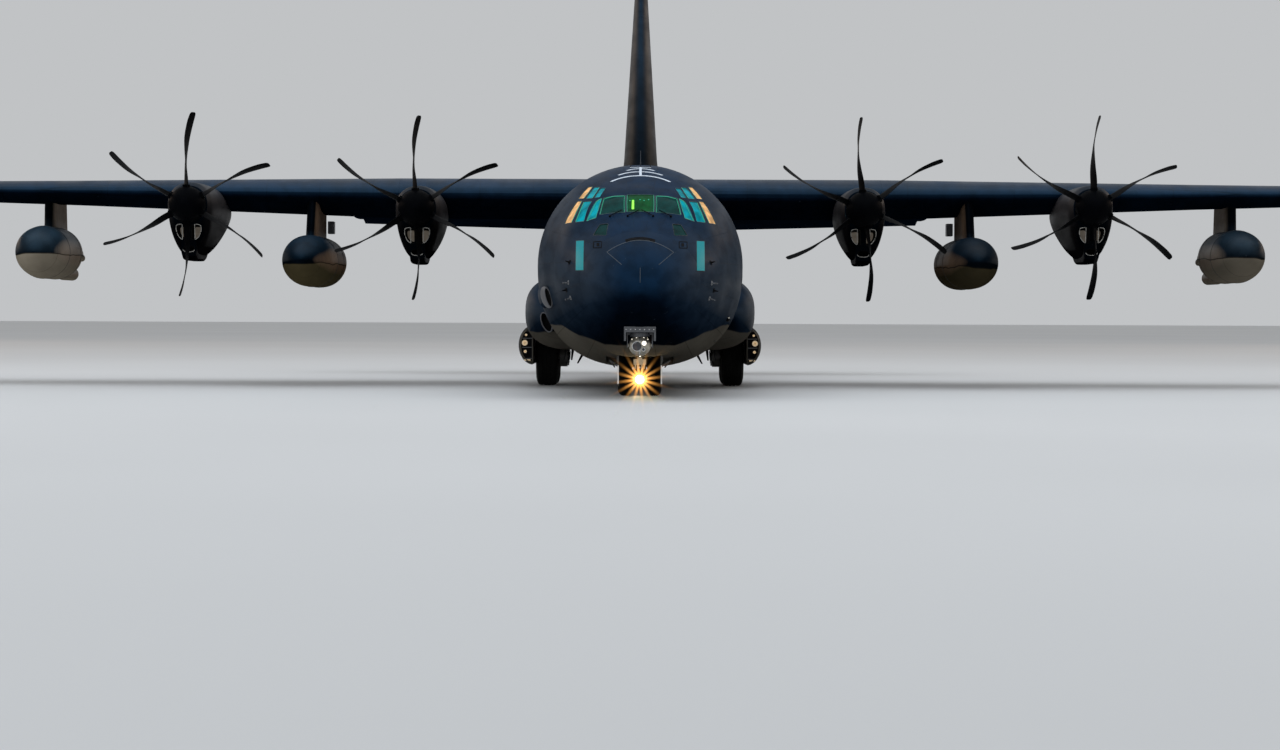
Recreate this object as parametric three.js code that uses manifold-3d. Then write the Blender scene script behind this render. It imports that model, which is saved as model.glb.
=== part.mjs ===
// Military transport plane: high wing, four turboprop engines with six-blade propellers,
// tricycle gear, rear ramp, two underwing fuel tanks and two hose pods.
// Every size below is the real one in millimetres. The outer group scales the whole to
// MODEL_SCALE. +X is the aircraft's left, +Z is up, the nose points to -Y and z = 0 is the
// ground. While it is built, y is the station: the distance aft of the nose tip.

import * as THREE from 'three';
import { mergeVertices } from 'three/addons/utils/BufferGeometryUtils.js';
import Module from 'manifold-3d';

const wasm = await Module();
wasm.setup();

// Driving dimensions
const MODEL_SCALE = 0.5;
const LENGTH = 29790;
const SEAM = 1;
const CLEARANCE = 12;
const WALL = 130;
const RADOME_END = 1050;
const FORWARD_END = 6220;
const CENTER_END = 18720;
const CARGO_FLOOR_TOP = 1040;
const FLIGHT_DECK_TOP = 2120;
const WING_JOINT = 5600;
const WING_TIP = 20205;
const FLAP_ROOT = 2250;
const FLAP_END = 13200;
const AILERON_END = 19900;
const PROP_STATION = 9700;
const PROP_RADIUS = 2057;
const MAIN_TRACK_HALF = 2170;
const MAIN_AXLES = [13130, 14660];
const MAIN_TYRE_RADIUS = 705;
const NOSE_AXLE = 4110;
const NOSE_TYRE_RADIUS = 490;
const TYRE_SIDES = 18;

// Sections of the body, from nose tip to tail cone. Columns: station, top, bottom,
// half width, height of the widest line, upper power, lower power.
// A power of 2 is an ellipse, and a higher one is squarer.
const BODY = [
  [0, 2300, 2110, 100, 2200, 2, 2],
  [60, 2455, 1990, 300, 2205, 2, 2],
  [200, 2690, 1830, 560, 2225, 2, 2],
  [500, 2980, 1600, 850, 2260, 2, 2],
  [1050, 3300, 1350, 1180, 2330, 2, 2],
  [1500, 3500, 1190, 1370, 2370, 2, 2],
  [1950, 3680, 1065, 1520, 2410, 2.1, 2.05],
  [2500, 4070, 930, 1665, 2450, 2.3, 2.1],
  [3300, 4340, 780, 1825, 2520, 2.35, 2.1],
  [4200, 4580, 660, 2010, 2600, 2.25, 2.2],
  [5200, 4760, 585, 2130, 2660, 2.1, 2.3],
  [6220, 4840, 550, 2170, 2700, 2, 2.4],
  [18720, 4840, 550, 2170, 2700, 2, 2.8],
  [20300, 4850, 1143, 2010, 2900, 2, 3.2],
  [21900, 4870, 1750, 1800, 3150, 2, 3.6],
  [23600, 4890, 2430, 1530, 3500, 2, 3.4],
  [25300, 4900, 3080, 1190, 3850, 2, 3],
  [27400, 4880, 3750, 760, 4250, 2, 2.4],
  [29100, 4830, 4260, 380, 4540, 2, 2],
  [29790, 4740, 4500, 160, 4620, 2, 2],
];
const BODY_POINTS = 24;

// Sections of the wing. Columns: distance from the centreline, leading edge, trailing edge,
// height of the chord line, thickness as a share of the chord, incidence in degrees
const WING = [
  [0, 12100, 16980, 4370, 0.18, 3],
  [5600, 12100, 16980, 4370, 0.18, 3],
  [13200, 12390, 16020, 4480, 0.15, 1.5],
  [20100, 12650, 15140, 4560, 0.12, 0],
  [20205, 12780, 15000, 4560, 0.07, 0],
];
const FLAP_SHARE = 0.72;
const AILERON_SHARE = 0.77;

// The tailplane and the fin, in the same columns; for the fin the first is the height
const TAILPLANE = [
  [0, 24950, 29050, 4430, 0.13, 0],
  [7900, 26400, 28300, 4430, 0.1, 0],
  [8025, 26560, 28180, 4430, 0.06, 0],
];
const FIN = [
  [4700, 21000, 29250, 0, 0.12, 0],
  [4950, 21900, 29240, 0, 0.135, 0],
  [5300, 22750, 29220, 0, 0.155, 0],
  [5900, 23450, 29180, 0, 0.155, 0],
  [11450, 26810, 28900, 0, 0.12, 0],
  [11840, 27400, 28700, 0, 0.09, 0],
];
const AIRFOIL_SHARES = [0, 0.012, 0.05, 0.12, 0.25, 0.4, 0.6, 0.8, 1];
const EDGE = 8;
const SKIN = 60;
const ELEVATOR_HINGE = 27600;
const ELEVATOR_ROOT = 950;
const ELEVATOR_END = 7850;
const ELEVATOR_DROOP = 15;
const RUDDER_FOOT = 4960;
const RUDDER_HEAD = 11350;
const RUDDER_HINGE = [27750, 28120];

// Cockpit windows of the left side, as seen from ahead: corners as [x, z]
const WINDOWS = {
  windshield: [[300, 4050], [735, 4005], [812, 3650], [300, 3690]],
  quarter: [[765, 4000], [900, 3925], [1080, 3520], [880, 3580]],
  side_front: [[975, 3936], [1137, 3936], [1299, 3505], [1122, 3520]],
  side_rear: [[1172, 3955], [1277, 3955], [1525, 3487], [1369, 3500]],
  upper_front: [[700, 4225], [800, 4225], [925, 4010], [815, 4020]],
  upper_middle: [[822, 4250], [935, 4250], [1104, 4000], [960, 4000]],
  upper_rear: [[969, 4270], [1061, 4270], [1263, 4010], [1135, 4010]],
  lower_nose: [[632, 3455], [800, 3445], [925, 3225], [668, 3215]],
};
const CENTRE_WINDOW = [[-275, 4060], [275, 4060], [275, 3700], [-275, 3700]];

// Engines: distance from the centreline, height of the thrust line, turn of the propeller
const ENGINES = [
  ['outboard_right', -10160, 4100, -0.3],
  ['inboard_right', -5020, 4040, -2.7],
  ['inboard_left', 5020, 4040, -6.8],
  ['outboard_left', 10160, 4100, -1.3],
];
// Sections of a nacelle, against its thrust line. Columns: station, top, bottom,
// half width, widest line, upper power, lower power
const NACELLE = [
  [9990, 430, -460, 425, 0, 2.2, 2.2],
  [10120, 500, -960, 480, 0, 2.2, 1.9],
  [10380, 520, -1180, 510, 0, 2.2, 1.9],
  [11300, 530, -1200, 530, 0, 2.2, 1.9],
  [12200, 520, -1090, 540, -20, 2.2, 1.9],
  [13200, 450, -800, 500, -60, 2, 2],
  [14300, 250, -430, 380, -60, 2, 2],
  [15000, 150, -180, 220, -20, 2, 2],
];
// The square chin under a nacelle, round its oil cooler, in the same columns
const CHIN = [
  [10060, -720, -1150, 170, -950, 5, 5],
  [10300, -720, -1250, 178, -950, 5, 5],
  [11500, -720, -1250, 178, -950, 5, 5],
  [12500, -720, -900, 130, -810, 5, 5],
];
const NACELLE_WALL = 60;
const NACELLE_POINTS = 14;
const CHIN_POINTS = 16;
const DUCT_POINTS = 8;
// Sections of a propeller blade. Columns: radius, chord, thickness, pitch in degrees,
// sweep of the section's middle
const BLADE = [
  [300, 220, 130, 110, 0],
  [520, 320, 90, 107, 0],
  [900, 410, 52, 98, -15],
  [1400, 430, 34, 84, 10],
  [1800, 370, 20, 76, 85],
  [1985, 300, 13, 72, 140],
  [PROP_RADIUS, 170, 8, 70, 165],
];

// Sections of a sponson. Columns: station, middle height, half height, outer reach
const SPONSON = [
  [9250, 1760, 240, 2130],
  [9700, 1750, 560, 2390],
  [10400, 1730, 760, 2560],
  [11300, 1720, 860, 2625],
  [15800, 1720, 860, 2625],
  [16600, 1740, 700, 2500],
  [17150, 1780, 330, 2200],
];
const SPONSON_ROOT = 1500;

// Fuel tanks and hose pods hung under the wing. Profiles: station, radius
const TANK = {
  side: 7620,
  height: 2880,
  profile: [[9900, 0], [9990, 150], [10500, 400], [11200, 575], [11800, 595], [14200, 595],
    [15100, 500], [16100, 260], [16700, 0]],
  pylon: [[11500, 0], [14700, 0], [14500, 1700], [12400, 1700]],
};
const POD = {
  side: 13900,
  height: 3070,
  profile: [[11250, 0], [11310, 180], [11600, 430], [12000, 570], [12500, 615], [13900, 615],
    [14800, 440], [15500, 300], [16250, 170], [16250, 0]],
  pylon: [[12900, 0], [15150, 0], [14800, 1700], [13100, 1700]],
};
const PYLON_HALF = 140;

// Solids, joined and cut

function toSolid(geometry) {
  const plain = geometry.clone();
  plain.deleteAttribute('normal');
  plain.deleteAttribute('uv');
  const merged = mergeVertices(plain, 0.01);
  const index = Array.from(merged.index.array);
  const faces = [];
  for (let i = 0; i < index.length; i += 3) {
    const [a, b, c] = index.slice(i, i + 3);
    if (a !== b && b !== c && c !== a) faces.push(a, b, c);
  }
  const vertProperties = Float32Array.from(merged.attributes.position.array);
  const triVerts = Uint32Array.from(faces);
  return new wasm.Manifold(new wasm.Mesh({ numProp: 3, vertProperties, triVerts }));
}

function toGeometry(solid) {
  const mesh = solid.getMesh();
  const geometry = new THREE.BufferGeometry();
  const corners = Float32Array.from(mesh.vertProperties);
  geometry.setAttribute('position', new THREE.BufferAttribute(corners, 3));
  geometry.setIndex(Array.from(mesh.triVerts));
  return geometry;
}

function join(first, ...others) {
  return toGeometry(others.reduce((sum, next) => sum.add(toSolid(next)), toSolid(first)));
}

function cut(first, ...others) {
  return toGeometry(others.reduce((rest, next) => rest.subtract(toSolid(next)), toSolid(first)));
}

function common(first, ...others) {
  return toGeometry(others.reduce((rest, next) => rest.intersect(toSolid(next)), toSolid(first)));
}

function mirrored(geometry) {
  const other = geometry.clone();
  other.scale(-1, 1, 1);
  const index = other.index.array;
  for (let i = 0; i < index.length; i += 3) {
    [index[i], index[i + 1]] = [index[i + 1], index[i]];
  }
  return other;
}

// Shapes

const at = (x, station, z) => new THREE.Vector3(x, station, z);
const radians = THREE.MathUtils.degToRad;

function ringNormal(ring) {
  const normal = new THREE.Vector3();
  ring.forEach((point, i) => {
    normal.add(point.clone().cross(ring[(i + 1) % ring.length]));
  });
  return normal.normalize();
}

function capFaces(ring) {
  const normal = ringNormal(ring);
  const across = ring[1].clone().sub(ring[0]);
  across.addScaledVector(normal, -across.dot(normal)).normalize();
  const up = normal.clone().cross(across);
  const flat = ring.map((point) => new THREE.Vector2(point.dot(across), point.dot(up)));
  return THREE.ShapeUtils.triangulateShape(flat, []);
}

function signedVolume(points, faces) {
  let volume = 0;
  for (let i = 0; i < faces.length; i += 3) {
    const [a, b, c] = [faces[i], faces[i + 1], faces[i + 2]].map((k) => points[k]);
    volume += a.dot(b.clone().cross(c));
  }
  return volume;
}

// A closed skin over rings that all have the same number of points, with flat ends
function loft(rings) {
  const count = rings[0].length;
  const points = rings.flat();
  const faces = [];
  for (let row = 0; row < rings.length - 1; row += 1) {
    for (let i = 0; i < count; i += 1) {
      const a = row * count + i;
      const b = row * count + ((i + 1) % count);
      const [c, d] = [b + count, a + count];
      const first = points[a].distanceTo(points[c]) <= points[b].distanceTo(points[d]);
      faces.push(...(first ? [a, b, c, a, c, d] : [a, b, d, b, c, d]));
    }
  }
  const last = (rings.length - 1) * count;
  capFaces(rings[0]).forEach(([a, b, c]) => faces.push(a, c, b));
  capFaces(rings.at(-1)).forEach(([a, b, c]) => faces.push(last + a, last + b, last + c));
  if (signedVolume(points, faces) < 0) faces.reverse();
  const geometry = new THREE.BufferGeometry();
  const corners = Float32Array.from(points.flatMap((point) => point.toArray()));
  geometry.setAttribute('position', new THREE.BufferAttribute(corners, 3));
  geometry.setIndex(faces);
  return geometry;
}

// A flat outline carried along X, along the stations or upwards
const PLANES = {
  x: (a, b, depth) => at(depth, a, b),
  station: (a, b, depth) => at(a, depth, b),
  z: (a, b, depth) => at(a, b, depth),
};

function prism(direction, outline, from, to) {
  const place = PLANES[direction];
  return loft([from, to].map((depth) => outline.map(([a, b]) => place(a, b, depth))));
}

function block([x0, x1], [s0, s1], [z0, z1]) {
  return prism('z', [[x0, s0], [x1, s0], [x1, s1], [x0, s1]], z0, z1);
}

function rod(from, to, radiusFrom, radiusTo = radiusFrom, sides = 8) {
  const along = to.clone().sub(from).normalize();
  const side = Math.abs(along.z) > 0.9 ? at(1, 0, 0) : at(0, 0, 1);
  const across = along.clone().cross(side).normalize();
  const up = across.clone().cross(along);
  const ring = (centre, radius) => Array.from({ length: sides }, (_, i) => {
    const turn = (2 * Math.PI * (i + 0.5)) / sides;
    return centre.clone()
      .addScaledVector(across, radius * Math.cos(turn))
      .addScaledVector(up, radius * Math.sin(turn));
  });
  return loft([ring(from, radiusFrom), ring(to, radiusTo)]);
}

// A body turned about a line along the stations, from a profile of [station, radius]
function turned(profile, x, z, sides) {
  const points = profile.map(([station, radius]) => new THREE.Vector2(radius, station));
  const geometry = new THREE.LatheGeometry(points, sides, Math.PI / sides);
  geometry.translate(x, 0, z);
  return toGeometry(toSolid(geometry));
}

// A wheel turned about an axle along X, from a profile of [distance from the middle, radius]
function wheel(profile, x, station, z) {
  const closed = [...profile, profile[0]];
  const points = closed.map(([side, radius]) => new THREE.Vector2(radius, side));
  const geometry = new THREE.LatheGeometry(points, TYRE_SIDES, Math.PI / TYRE_SIDES);
  geometry.rotateZ(-Math.PI / 2);
  geometry.translate(x, station, z);
  return toGeometry(toSolid(geometry));
}

// Body

function rowAt(table, value) {
  const next = table.findIndex((row) => row[0] >= value);
  if (next <= 0) return [value, ...table[next === 0 ? 0 : table.length - 1].slice(1)];
  const [low, high] = [table[next - 1], table[next]];
  const share = (value - low[0]) / (high[0] - low[0]);
  return low.map((entry, i) => entry + share * (high[i] - entry));
}

function rowsBetween(table, from, to) {
  const inside = table.filter((row) => row[0] > from && row[0] < to);
  return [rowAt(table, from), ...inside, rowAt(table, to)];
}

// One oval ring round (x, z), made of an upper and a lower half
function ovalRing(row, inset, points, x = 0, z = 0) {
  const [station, top, bottom, halfWidth, widest, upperPower, lowerPower] = row;
  return Array.from({ length: points }, (_, i) => {
    const turn = (2 * Math.PI * i) / points;
    const [c, s] = [Math.cos(turn), Math.sin(turn)];
    const power = 2 / (s >= 0 ? upperPower : lowerPower);
    const height = s >= 0 ? top - inset - widest : widest - bottom - inset;
    return at(
      x + (halfWidth - inset) * Math.sign(c) * Math.abs(c) ** power,
      station,
      z + widest + height * Math.sign(s) * Math.abs(s) ** power,
    );
  });
}

function body(from, to, inset) {
  return loft(rowsBetween(BODY, from, to).map((row) => ovalRing(row, inset, BODY_POINTS)));
}

function bodyShell(from, to, inset, depth, frontWall = -10, backWall = -10) {
  return cut(body(from, to, inset), body(from + frontWall, to - backWall, inset + depth));
}

// Station at which the body's skin passes through a point seen from ahead
function skinStation(x, z) {
  let [low, high] = [0, FORWARD_END];
  for (let step = 0; step < 40; step += 1) {
    const middle = (low + high) / 2;
    const [, top, bottom, halfWidth, widest, upperPower, lowerPower] = rowAt(BODY, middle);
    const power = z >= widest ? upperPower : lowerPower;
    const height = z >= widest ? top - widest : widest - bottom;
    const reach = Math.abs(x / halfWidth) ** power + Math.abs((z - widest) / height) ** power;
    if (reach > 1) low = middle;
    else high = middle;
  }
  return high;
}

// A window's cutter: its outline on the skin, grown sideways and carried in and out
function windowCutter(corners, grow, out, inward) {
  const outline = corners.map(([x, z]) => at(x, skinStation(x, z), z));
  const middle = outline.reduce((sum, point) => sum.add(point), at(0, 0, 0));
  middle.divideScalar(outline.length);
  const normal = ringNormal(outline.map((point) => point.clone().sub(middle)));
  if (normal.y > 0) normal.negate();
  const grown = outline.map((point) => {
    const away = point.clone().sub(middle);
    return point.clone().addScaledVector(away.normalize(), grow);
  });
  return loft([out, -inward].map((depth) => (
    grown.map((point) => point.clone().addScaledVector(normal, depth))
  )));
}

function windowOutlines() {
  const left = Object.values(WINDOWS);
  const right = left.map((corners) => corners.map(([x, z]) => [-x, z]));
  return [...left, ...right, CENTRE_WINDOW];
}

// Doors in the body's side, as seen from the left: [first station, last station], [foot, head]
const CREW_DOOR = [[4980, 5740], [1110, 2900]];
const PARATROOP_DOOR = [[17250, 18150], [1110, 2930]];
const SIDE_REACH = [700, 2600];

function sideDoor([[s0, s1], [z0, z1]], inset) {
  const stations = [s0 + inset, s1 - inset];
  const heights = [z0 + inset, z1 - inset];
  return block(SIDE_REACH, stations, heights);
}

// Rear ramp and cargo door, as seen from the side
const RAMP_PIVOT = [18985, 790];
const RAMP_NOSE = 250;
const RAMP_SLOPE = Math.tan(radians(19.5));
const RAMP_HALF = 1450;
const RAMP_END = 21880;
const SPLIT_HEIGHT = 1742;
const SPLIT_LEAN = 0.49;
const SPLIT_GAP = 25;
const CARGO_DOOR_END = 25290;
const CARGO_DOOR_HALF = [1450, 940];
const CARGO_DOOR_TOP = 3500;

const splitStation = (z) => RAMP_END - (z - SPLIT_HEIGHT) * SPLIT_LEAN;
const rampTop = (station) => CARGO_FLOOR_TOP + (station - RAMP_PIVOT[0]) * RAMP_SLOPE;
// Height at which the ramp's top meets the leaning split
const RAMP_HEAD = rampTop(splitStation(0)) / (1 + SPLIT_LEAN * RAMP_SLOPE);

function rampSide() {
  const nose = [90, 115, 140, 165, 195, 220, 245, 270].map((angle) => [
    RAMP_PIVOT[0] + RAMP_NOSE * Math.cos(radians(angle)),
    RAMP_PIVOT[1] + RAMP_NOSE * Math.sin(radians(angle)),
  ]);
  const foot = RAMP_PIVOT[1] - RAMP_NOSE;
  return [...nose, [splitStation(foot), foot], [splitStation(RAMP_HEAD), RAMP_HEAD]];
}

function cargoDoorSpace(inset, splitGap) {
  const [front, back] = CARGO_DOOR_HALF.map((half) => half + inset);
  const start = RAMP_END - 400;
  const end = CARGO_DOOR_END + inset;
  const plan = [[-front, start], [front, start], [back, end], [-back, end]];
  const behind = [
    [splitStation(0) + splitGap, 0],
    [end + 100, 0],
    [end + 100, CARGO_DOOR_TOP],
    [splitStation(CARGO_DOOR_TOP) + splitGap, CARGO_DOOR_TOP],
  ];
  return common(prism('z', plan, 0, CARGO_DOOR_TOP), prism('x', behind, -2000, 2000));
}

function rampOpening() {
  const head = rampTop(RAMP_END) + CLEARANCE;
  const side = [
    [CENTER_END - 50, 0],
    [splitStation(0) + SPLIT_GAP, 0],
    [splitStation(head) + SPLIT_GAP, head],
    [RAMP_PIVOT[0], CARGO_FLOOR_TOP + CLEARANCE],
    [CENTER_END - 50, CARGO_FLOOR_TOP + CLEARANCE],
  ];
  return prism('x', side, -RAMP_HALF - CLEARANCE, RAMP_HALF + CLEARANCE);
}

// Wings and tail surfaces

function airfoilHalf(share) {
  return 5 * (0.2969 * Math.sqrt(share) - 0.126 * share - 0.3516 * share ** 2
    + 0.2843 * share ** 3 - 0.1036 * share ** 4);
}

// Ring of a lifting surface: span, station and height of each point, upper side first
function airfoil(row, grow = 0) {
  const [span, leading, trailing, height, thickness, incidence] = row;
  const chord = trailing - leading;
  const lift = Math.sin(radians(incidence));
  const side = (sign) => (share) => [
    span,
    leading - grow + share * (chord + 2 * grow),
    height + (0.4 - share) * chord * lift
      + sign * Math.max(airfoilHalf(share) * thickness * chord + EDGE + grow, EDGE / 2),
  ];
  return [...AIRFOIL_SHARES.map(side(1)), ...AIRFOIL_SHARES.toReversed().map(side(-1))];
}

function wing(from, to, grow = 0) {
  return loft(rowsBetween(WING, from, to).map((row) => (
    airfoil(row, grow).map(([x, station, z]) => at(x, station, z))
  )));
}

function wholeSpan(table, grow = 0) {
  const mirror = table.slice(1).toReversed().map(([span, ...rest]) => [-span, ...rest]);
  return loft([...mirror, ...table].map((row) => (
    airfoil(row, grow).map(([x, station, z]) => at(x, station, z))
  )));
}

function finBody(grow = 0) {
  return loft(FIN.map((row) => (
    airfoil(row, grow).map(([z, station, x]) => at(x, station, z))
  )));
}

const chordStation = (row, share) => row[1] + share * (row[2] - row[1]);

// Plan outline of the part of a wing behind a share of its chord
function behindShare(share, from, to, ahead) {
  const rows = rowsBetween(WING, from, to);
  const front = rows.map((row) => [row[0], chordStation(row, share) - ahead]);
  return [...front, [to, 18000], [from, 18000]];
}

function chordHeight(row, share) {
  const lift = Math.sin(radians(row[5]));
  return row[3] + (0.4 - share) * (row[2] - row[1]) * lift;
}

const halfThickness = (row, share) => airfoilHalf(share) * row[4] * (row[2] - row[1]) + EDGE;

function flap(from, to) {
  const plan = behindShare(FLAP_SHARE, from, to, -CLEARANCE);
  return common(wing(Math.max(from - 10, 0), to + 10), prism('z', plan, 3000, 6000));
}

function flapSpace(from, to) {
  return prism('z', behindShare(FLAP_SHARE, from, to, 0), 3000, 6000);
}

// Ailerons have a round nose about their hinge line
function aileronHinge(span) {
  const row = rowAt(WING, span);
  const radius = halfThickness(row, AILERON_SHARE) - 4;
  return [at(span, chordStation(row, AILERON_SHARE), chordHeight(row, AILERON_SHARE)), radius];
}

function aileron(from, to) {
  const plan = behindShare(AILERON_SHARE, from, to, 0);
  const [start, startRadius] = aileronHinge(from);
  const [end, endRadius] = aileronHinge(to);
  const blade = common(wing(from - 10, to + 10), prism('z', plan, 3000, 6000));
  const nose = common(
    rod(start, end, startRadius, endRadius),
    block([from, to], [12000, 18000], [3000, 6000]),
  );
  return join(blade, nose);
}

function aileronSpace(from, to) {
  const ahead = aileronHinge(from)[1] + 20;
  return prism('z', behindShare(AILERON_SHARE, from, to, ahead), 3000, 6000);
}

const FLAP_GAP = 20;
const outerWing = () => cut(
  wing(WING_JOINT + SEAM, WING_TIP),
  flapSpace(WING_JOINT, FLAP_END),
  aileronSpace(FLAP_END - SEAM, AILERON_END + CLEARANCE),
);

function crown(grow) {
  return common(
    body(11900, 17300, -SEAM * grow),
    block([-2100, 2100], [12050 - grow, 17050 + grow], [4300 - grow, 5200]),
  );
}

function wingCenter() {
  const root = WING.slice(0, 2);
  const flaps = flapSpace(FLAP_ROOT - FLAP_GAP, WING_JOINT + 100);
  const whole = join(wholeSpan(root), crown(0));
  return cut(whole, flaps, mirrored(flaps));
}

const wingCutter = () => join(wholeSpan(WING.slice(0, 2), SEAM), crown(SEAM));

// Tail

const RUDDER_SPAN = [[RUDDER_HINGE[0], RUDDER_FOOT], [RUDDER_HINGE[1], RUDDER_HEAD]];

function rudderRadius(height) {
  const row = rowAt(FIN, height);
  const hinge = THREE.MathUtils.mapLinear(height, RUDDER_FOOT, RUDDER_HEAD, ...RUDDER_HINGE);
  return halfThickness(row, (hinge - row[1]) / (row[2] - row[1])) - 4;
}

function behindRudderHinge(ahead, grow) {
  const [[s0, z0], [s1, z1]] = RUDDER_SPAN;
  const side = [[s0 - ahead, z0 - grow], [s1 - ahead, z1 + grow], [30500, z1 + grow], [30500, z0 - grow]];
  return prism('x', side, -900, 900);
}

function rudder() {
  const [[s0, z0], [s1, z1]] = RUDDER_SPAN;
  const blade = common(finBody(), behindRudderHinge(0, 0));
  const nose = common(
    rod(at(0, s0, z0), at(0, s1, z1), rudderRadius(z0), rudderRadius(z1)),
    block([-900, 900], [26000, 30000], [z0, z1]),
  );
  return join(blade, nose);
}

// The fin is a shell that is open at its foot, inside the body
function fin() {
  const ahead = rudderRadius(RUDDER_FOOT) + 20;
  const web = behindRudderHinge(ahead + SKIN, 500);
  const hollow = cut(finBody(-SKIN), web, block([-900, 900], [22000, 30000], [11200, 12000]));
  return cut(finBody(), hollow, behindRudderHinge(ahead, CLEARANCE), body(20000, 29700, -SEAM));
}

function elevatorSpace(ahead, inset) {
  const [root, end] = [ELEVATOR_ROOT - inset, ELEVATOR_END + inset];
  const front = ELEVATOR_HINGE - ahead;
  return prism('z', [[root, front], [end, front], [end, 30500], [root, 30500]], 3600, 5300);
}

function elevatorRadius(span) {
  const row = rowAt(TAILPLANE, span);
  return halfThickness(row, (ELEVATOR_HINGE - row[1]) / (row[2] - row[1])) - 4;
}

function elevator() {
  const [hingeHeight, root, end] = [TAILPLANE[0][3], ELEVATOR_ROOT, ELEVATOR_END];
  const blade = common(wholeSpan(TAILPLANE), elevatorSpace(0, 0));
  const nose = rod(
    at(root, ELEVATOR_HINGE, hingeHeight),
    at(end, ELEVATOR_HINGE, hingeHeight),
    elevatorRadius(root),
    elevatorRadius(end),
  );
  const whole = join(blade, nose);
  whole.translate(0, -ELEVATOR_HINGE, -hingeHeight);
  whole.rotateX(radians(-ELEVATOR_DROOP));
  whole.translate(0, ELEVATOR_HINGE, hingeHeight);
  return whole;
}

// The tailplane is a shell that is open in the middle, inside the tail cone
function tailplane() {
  const space = elevatorSpace(elevatorRadius(ELEVATOR_ROOT) + 20, CLEARANCE);
  const web = block([-9000, 9000], [27250, 30000], [3500, 5500]);
  const hollow = cut(wholeSpan([TAILPLANE[0], rowAt(TAILPLANE, 7500)], -SKIN), web);
  const hatch = block([-300, 300], [25600, 26800], [4000, 4430]);
  return cut(wholeSpan(TAILPLANE), space, mirrored(space), hollow, hatch);
}

// Engines

function nacelleBody(x, z, inset, from = NACELLE[0][0], to = NACELLE.at(-1)[0]) {
  return loft(rowsBetween(NACELLE, from, to).map((row) => ovalRing(row, inset, NACELLE_POINTS, x, z)));
}

// Oval duct along the stations, centred at (x, z)
function duct(x, z, halfWidth, halfHeight, from, to, power = 2) {
  const row = [0, halfHeight, -halfHeight, halfWidth, 0, power, power];
  return loft([from, to].map((station) => ovalRing([station, ...row.slice(1)], 0, DUCT_POINTS, x, z)));
}

function nacelle(x, z) {
  const intakes = [-168, 168].map((side) => duct(x + side, z - 600, 113, 165, 9800, 10700, 2.4));
  const cooler = duct(x, z - 985, 135, 75, 9800, 10900, 2.4);
  const chin = loft(CHIN.map((row) => ovalRing(row, 0, CHIN_POINTS, x, z)));
  return cut(
    join(nacelleBody(x, z, 0), chin),
    nacelleBody(x, z, NACELLE_WALL, 10060, 14200),
    ...intakes,
    cooler,
    x > 0 ? wing(FLAP_ROOT, WING_TIP, SEAM) : mirrored(wing(FLAP_ROOT, WING_TIP, SEAM)),
  );
}

function engineBlock(x, z) {
  const wingSpace = wing(FLAP_ROOT, WING_TIP, CLEARANCE);
  return cut(
    rod(at(x, 10250, z - 20), at(x, 12900, z - 120), 330, 300, 10),
    x > 0 ? wingSpace : mirrored(wingSpace),
  );
}

function blade(x, z, angle) {
  const rings = BLADE.map(([radius, chord, thickness, pitch, sweep]) => {
    const outline = [[-0.5, 0], [-0.25, 0.45], [0.2, 0.4], [0.5, 0], [0.2, -0.4], [-0.25, -0.45]];
    const [c, s] = [Math.cos(radians(pitch)), Math.sin(radians(pitch))];
    return outline.map(([along, across]) => at(
      sweep + along * chord * c - across * thickness * s,
      along * chord * s + across * thickness * c,
      radius,
    ));
  });
  const geometry = loft(rings);
  geometry.rotateY(radians(angle));
  geometry.translate(x, PROP_STATION, z);
  return geometry;
}

function propeller(x, z, turn) {
  const spinner = [[9130, 0], [9160, 90], [9280, 220], [9500, 350], [9720, 405],
    [9965, 405], [9965, 0]];
  const blades = [0, 1, 2, 3, 4, 5].map((i) => blade(x, z, turn + 60 * i));
  return join(turned(spinner, x, z, 14), ...blades);
}

// Landing gear

const MAIN_AXLE_HEIGHT = MAIN_TYRE_RADIUS * Math.cos(Math.PI / TYRE_SIDES);
const NOSE_AXLE_HEIGHT = NOSE_TYRE_RADIUS * Math.cos(Math.PI / TYRE_SIDES);
const MAIN_TYRE = [[-200, 75], [-200, 300], [-250, 340], [-250, 570], [-180, 705],
  [180, 705], [250, 570], [250, 340], [200, 300], [200, 75]];
const NOSE_PAIR = [[-420, 0], [-420, 210], [-455, 380], [-400, 490], [-195, 490],
  [-145, 380], [-160, 210], [-160, 60], [160, 60], [160, 210], [145, 380], [195, 490],
  [400, 490], [455, 380], [420, 210], [420, 0]];
const WHEEL_WELL = [[1845, 2530], [12330, 15460], [0, 1540]];
const LEG_WELL = [[1500, 1846], [12900, 14900], [0, 1300]];
const LEG_SIDE = 1800;
const LEG_RADIUS = 85;
const BRAKE_RADIUS = 255;

function mainStruts() {
  const [front, rear] = MAIN_AXLES;
  const head = LEG_WELL[2][1] - SEAM;
  const legs = MAIN_AXLES.flatMap((station) => [
    rod(at(LEG_SIDE, station, 560), at(LEG_SIDE, station, head), LEG_RADIUS),
    rod(at(1720, station, MAIN_AXLE_HEIGHT), at(2370, station, MAIN_AXLE_HEIGHT), 70),
    rod(at(1700, station, MAIN_AXLE_HEIGHT), at(1880, station, MAIN_AXLE_HEIGHT), BRAKE_RADIUS),
  ]);
  const beam = block([1750, 1850], [front, rear], [600, 700]);
  return cut(join(beam, ...legs), body(FORWARD_END, CENTER_END, -SEAM));
}

function sponsonCore(inset) {
  return loft(SPONSON.map(([station, middle, half, reach]) => {
    const row = [station, half, -half, reach - SPONSON_ROOT, 0, 2.6, 2.6];
    return ovalRing(row, inset, 20, SPONSON_ROOT, middle);
  }));
}

function sponson() {
  const wells = [block(...WHEEL_WELL), block(...LEG_WELL)];
  return cut(sponsonCore(0), ...wells, body(FORWARD_END, CENTER_END, -SEAM));
}

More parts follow.
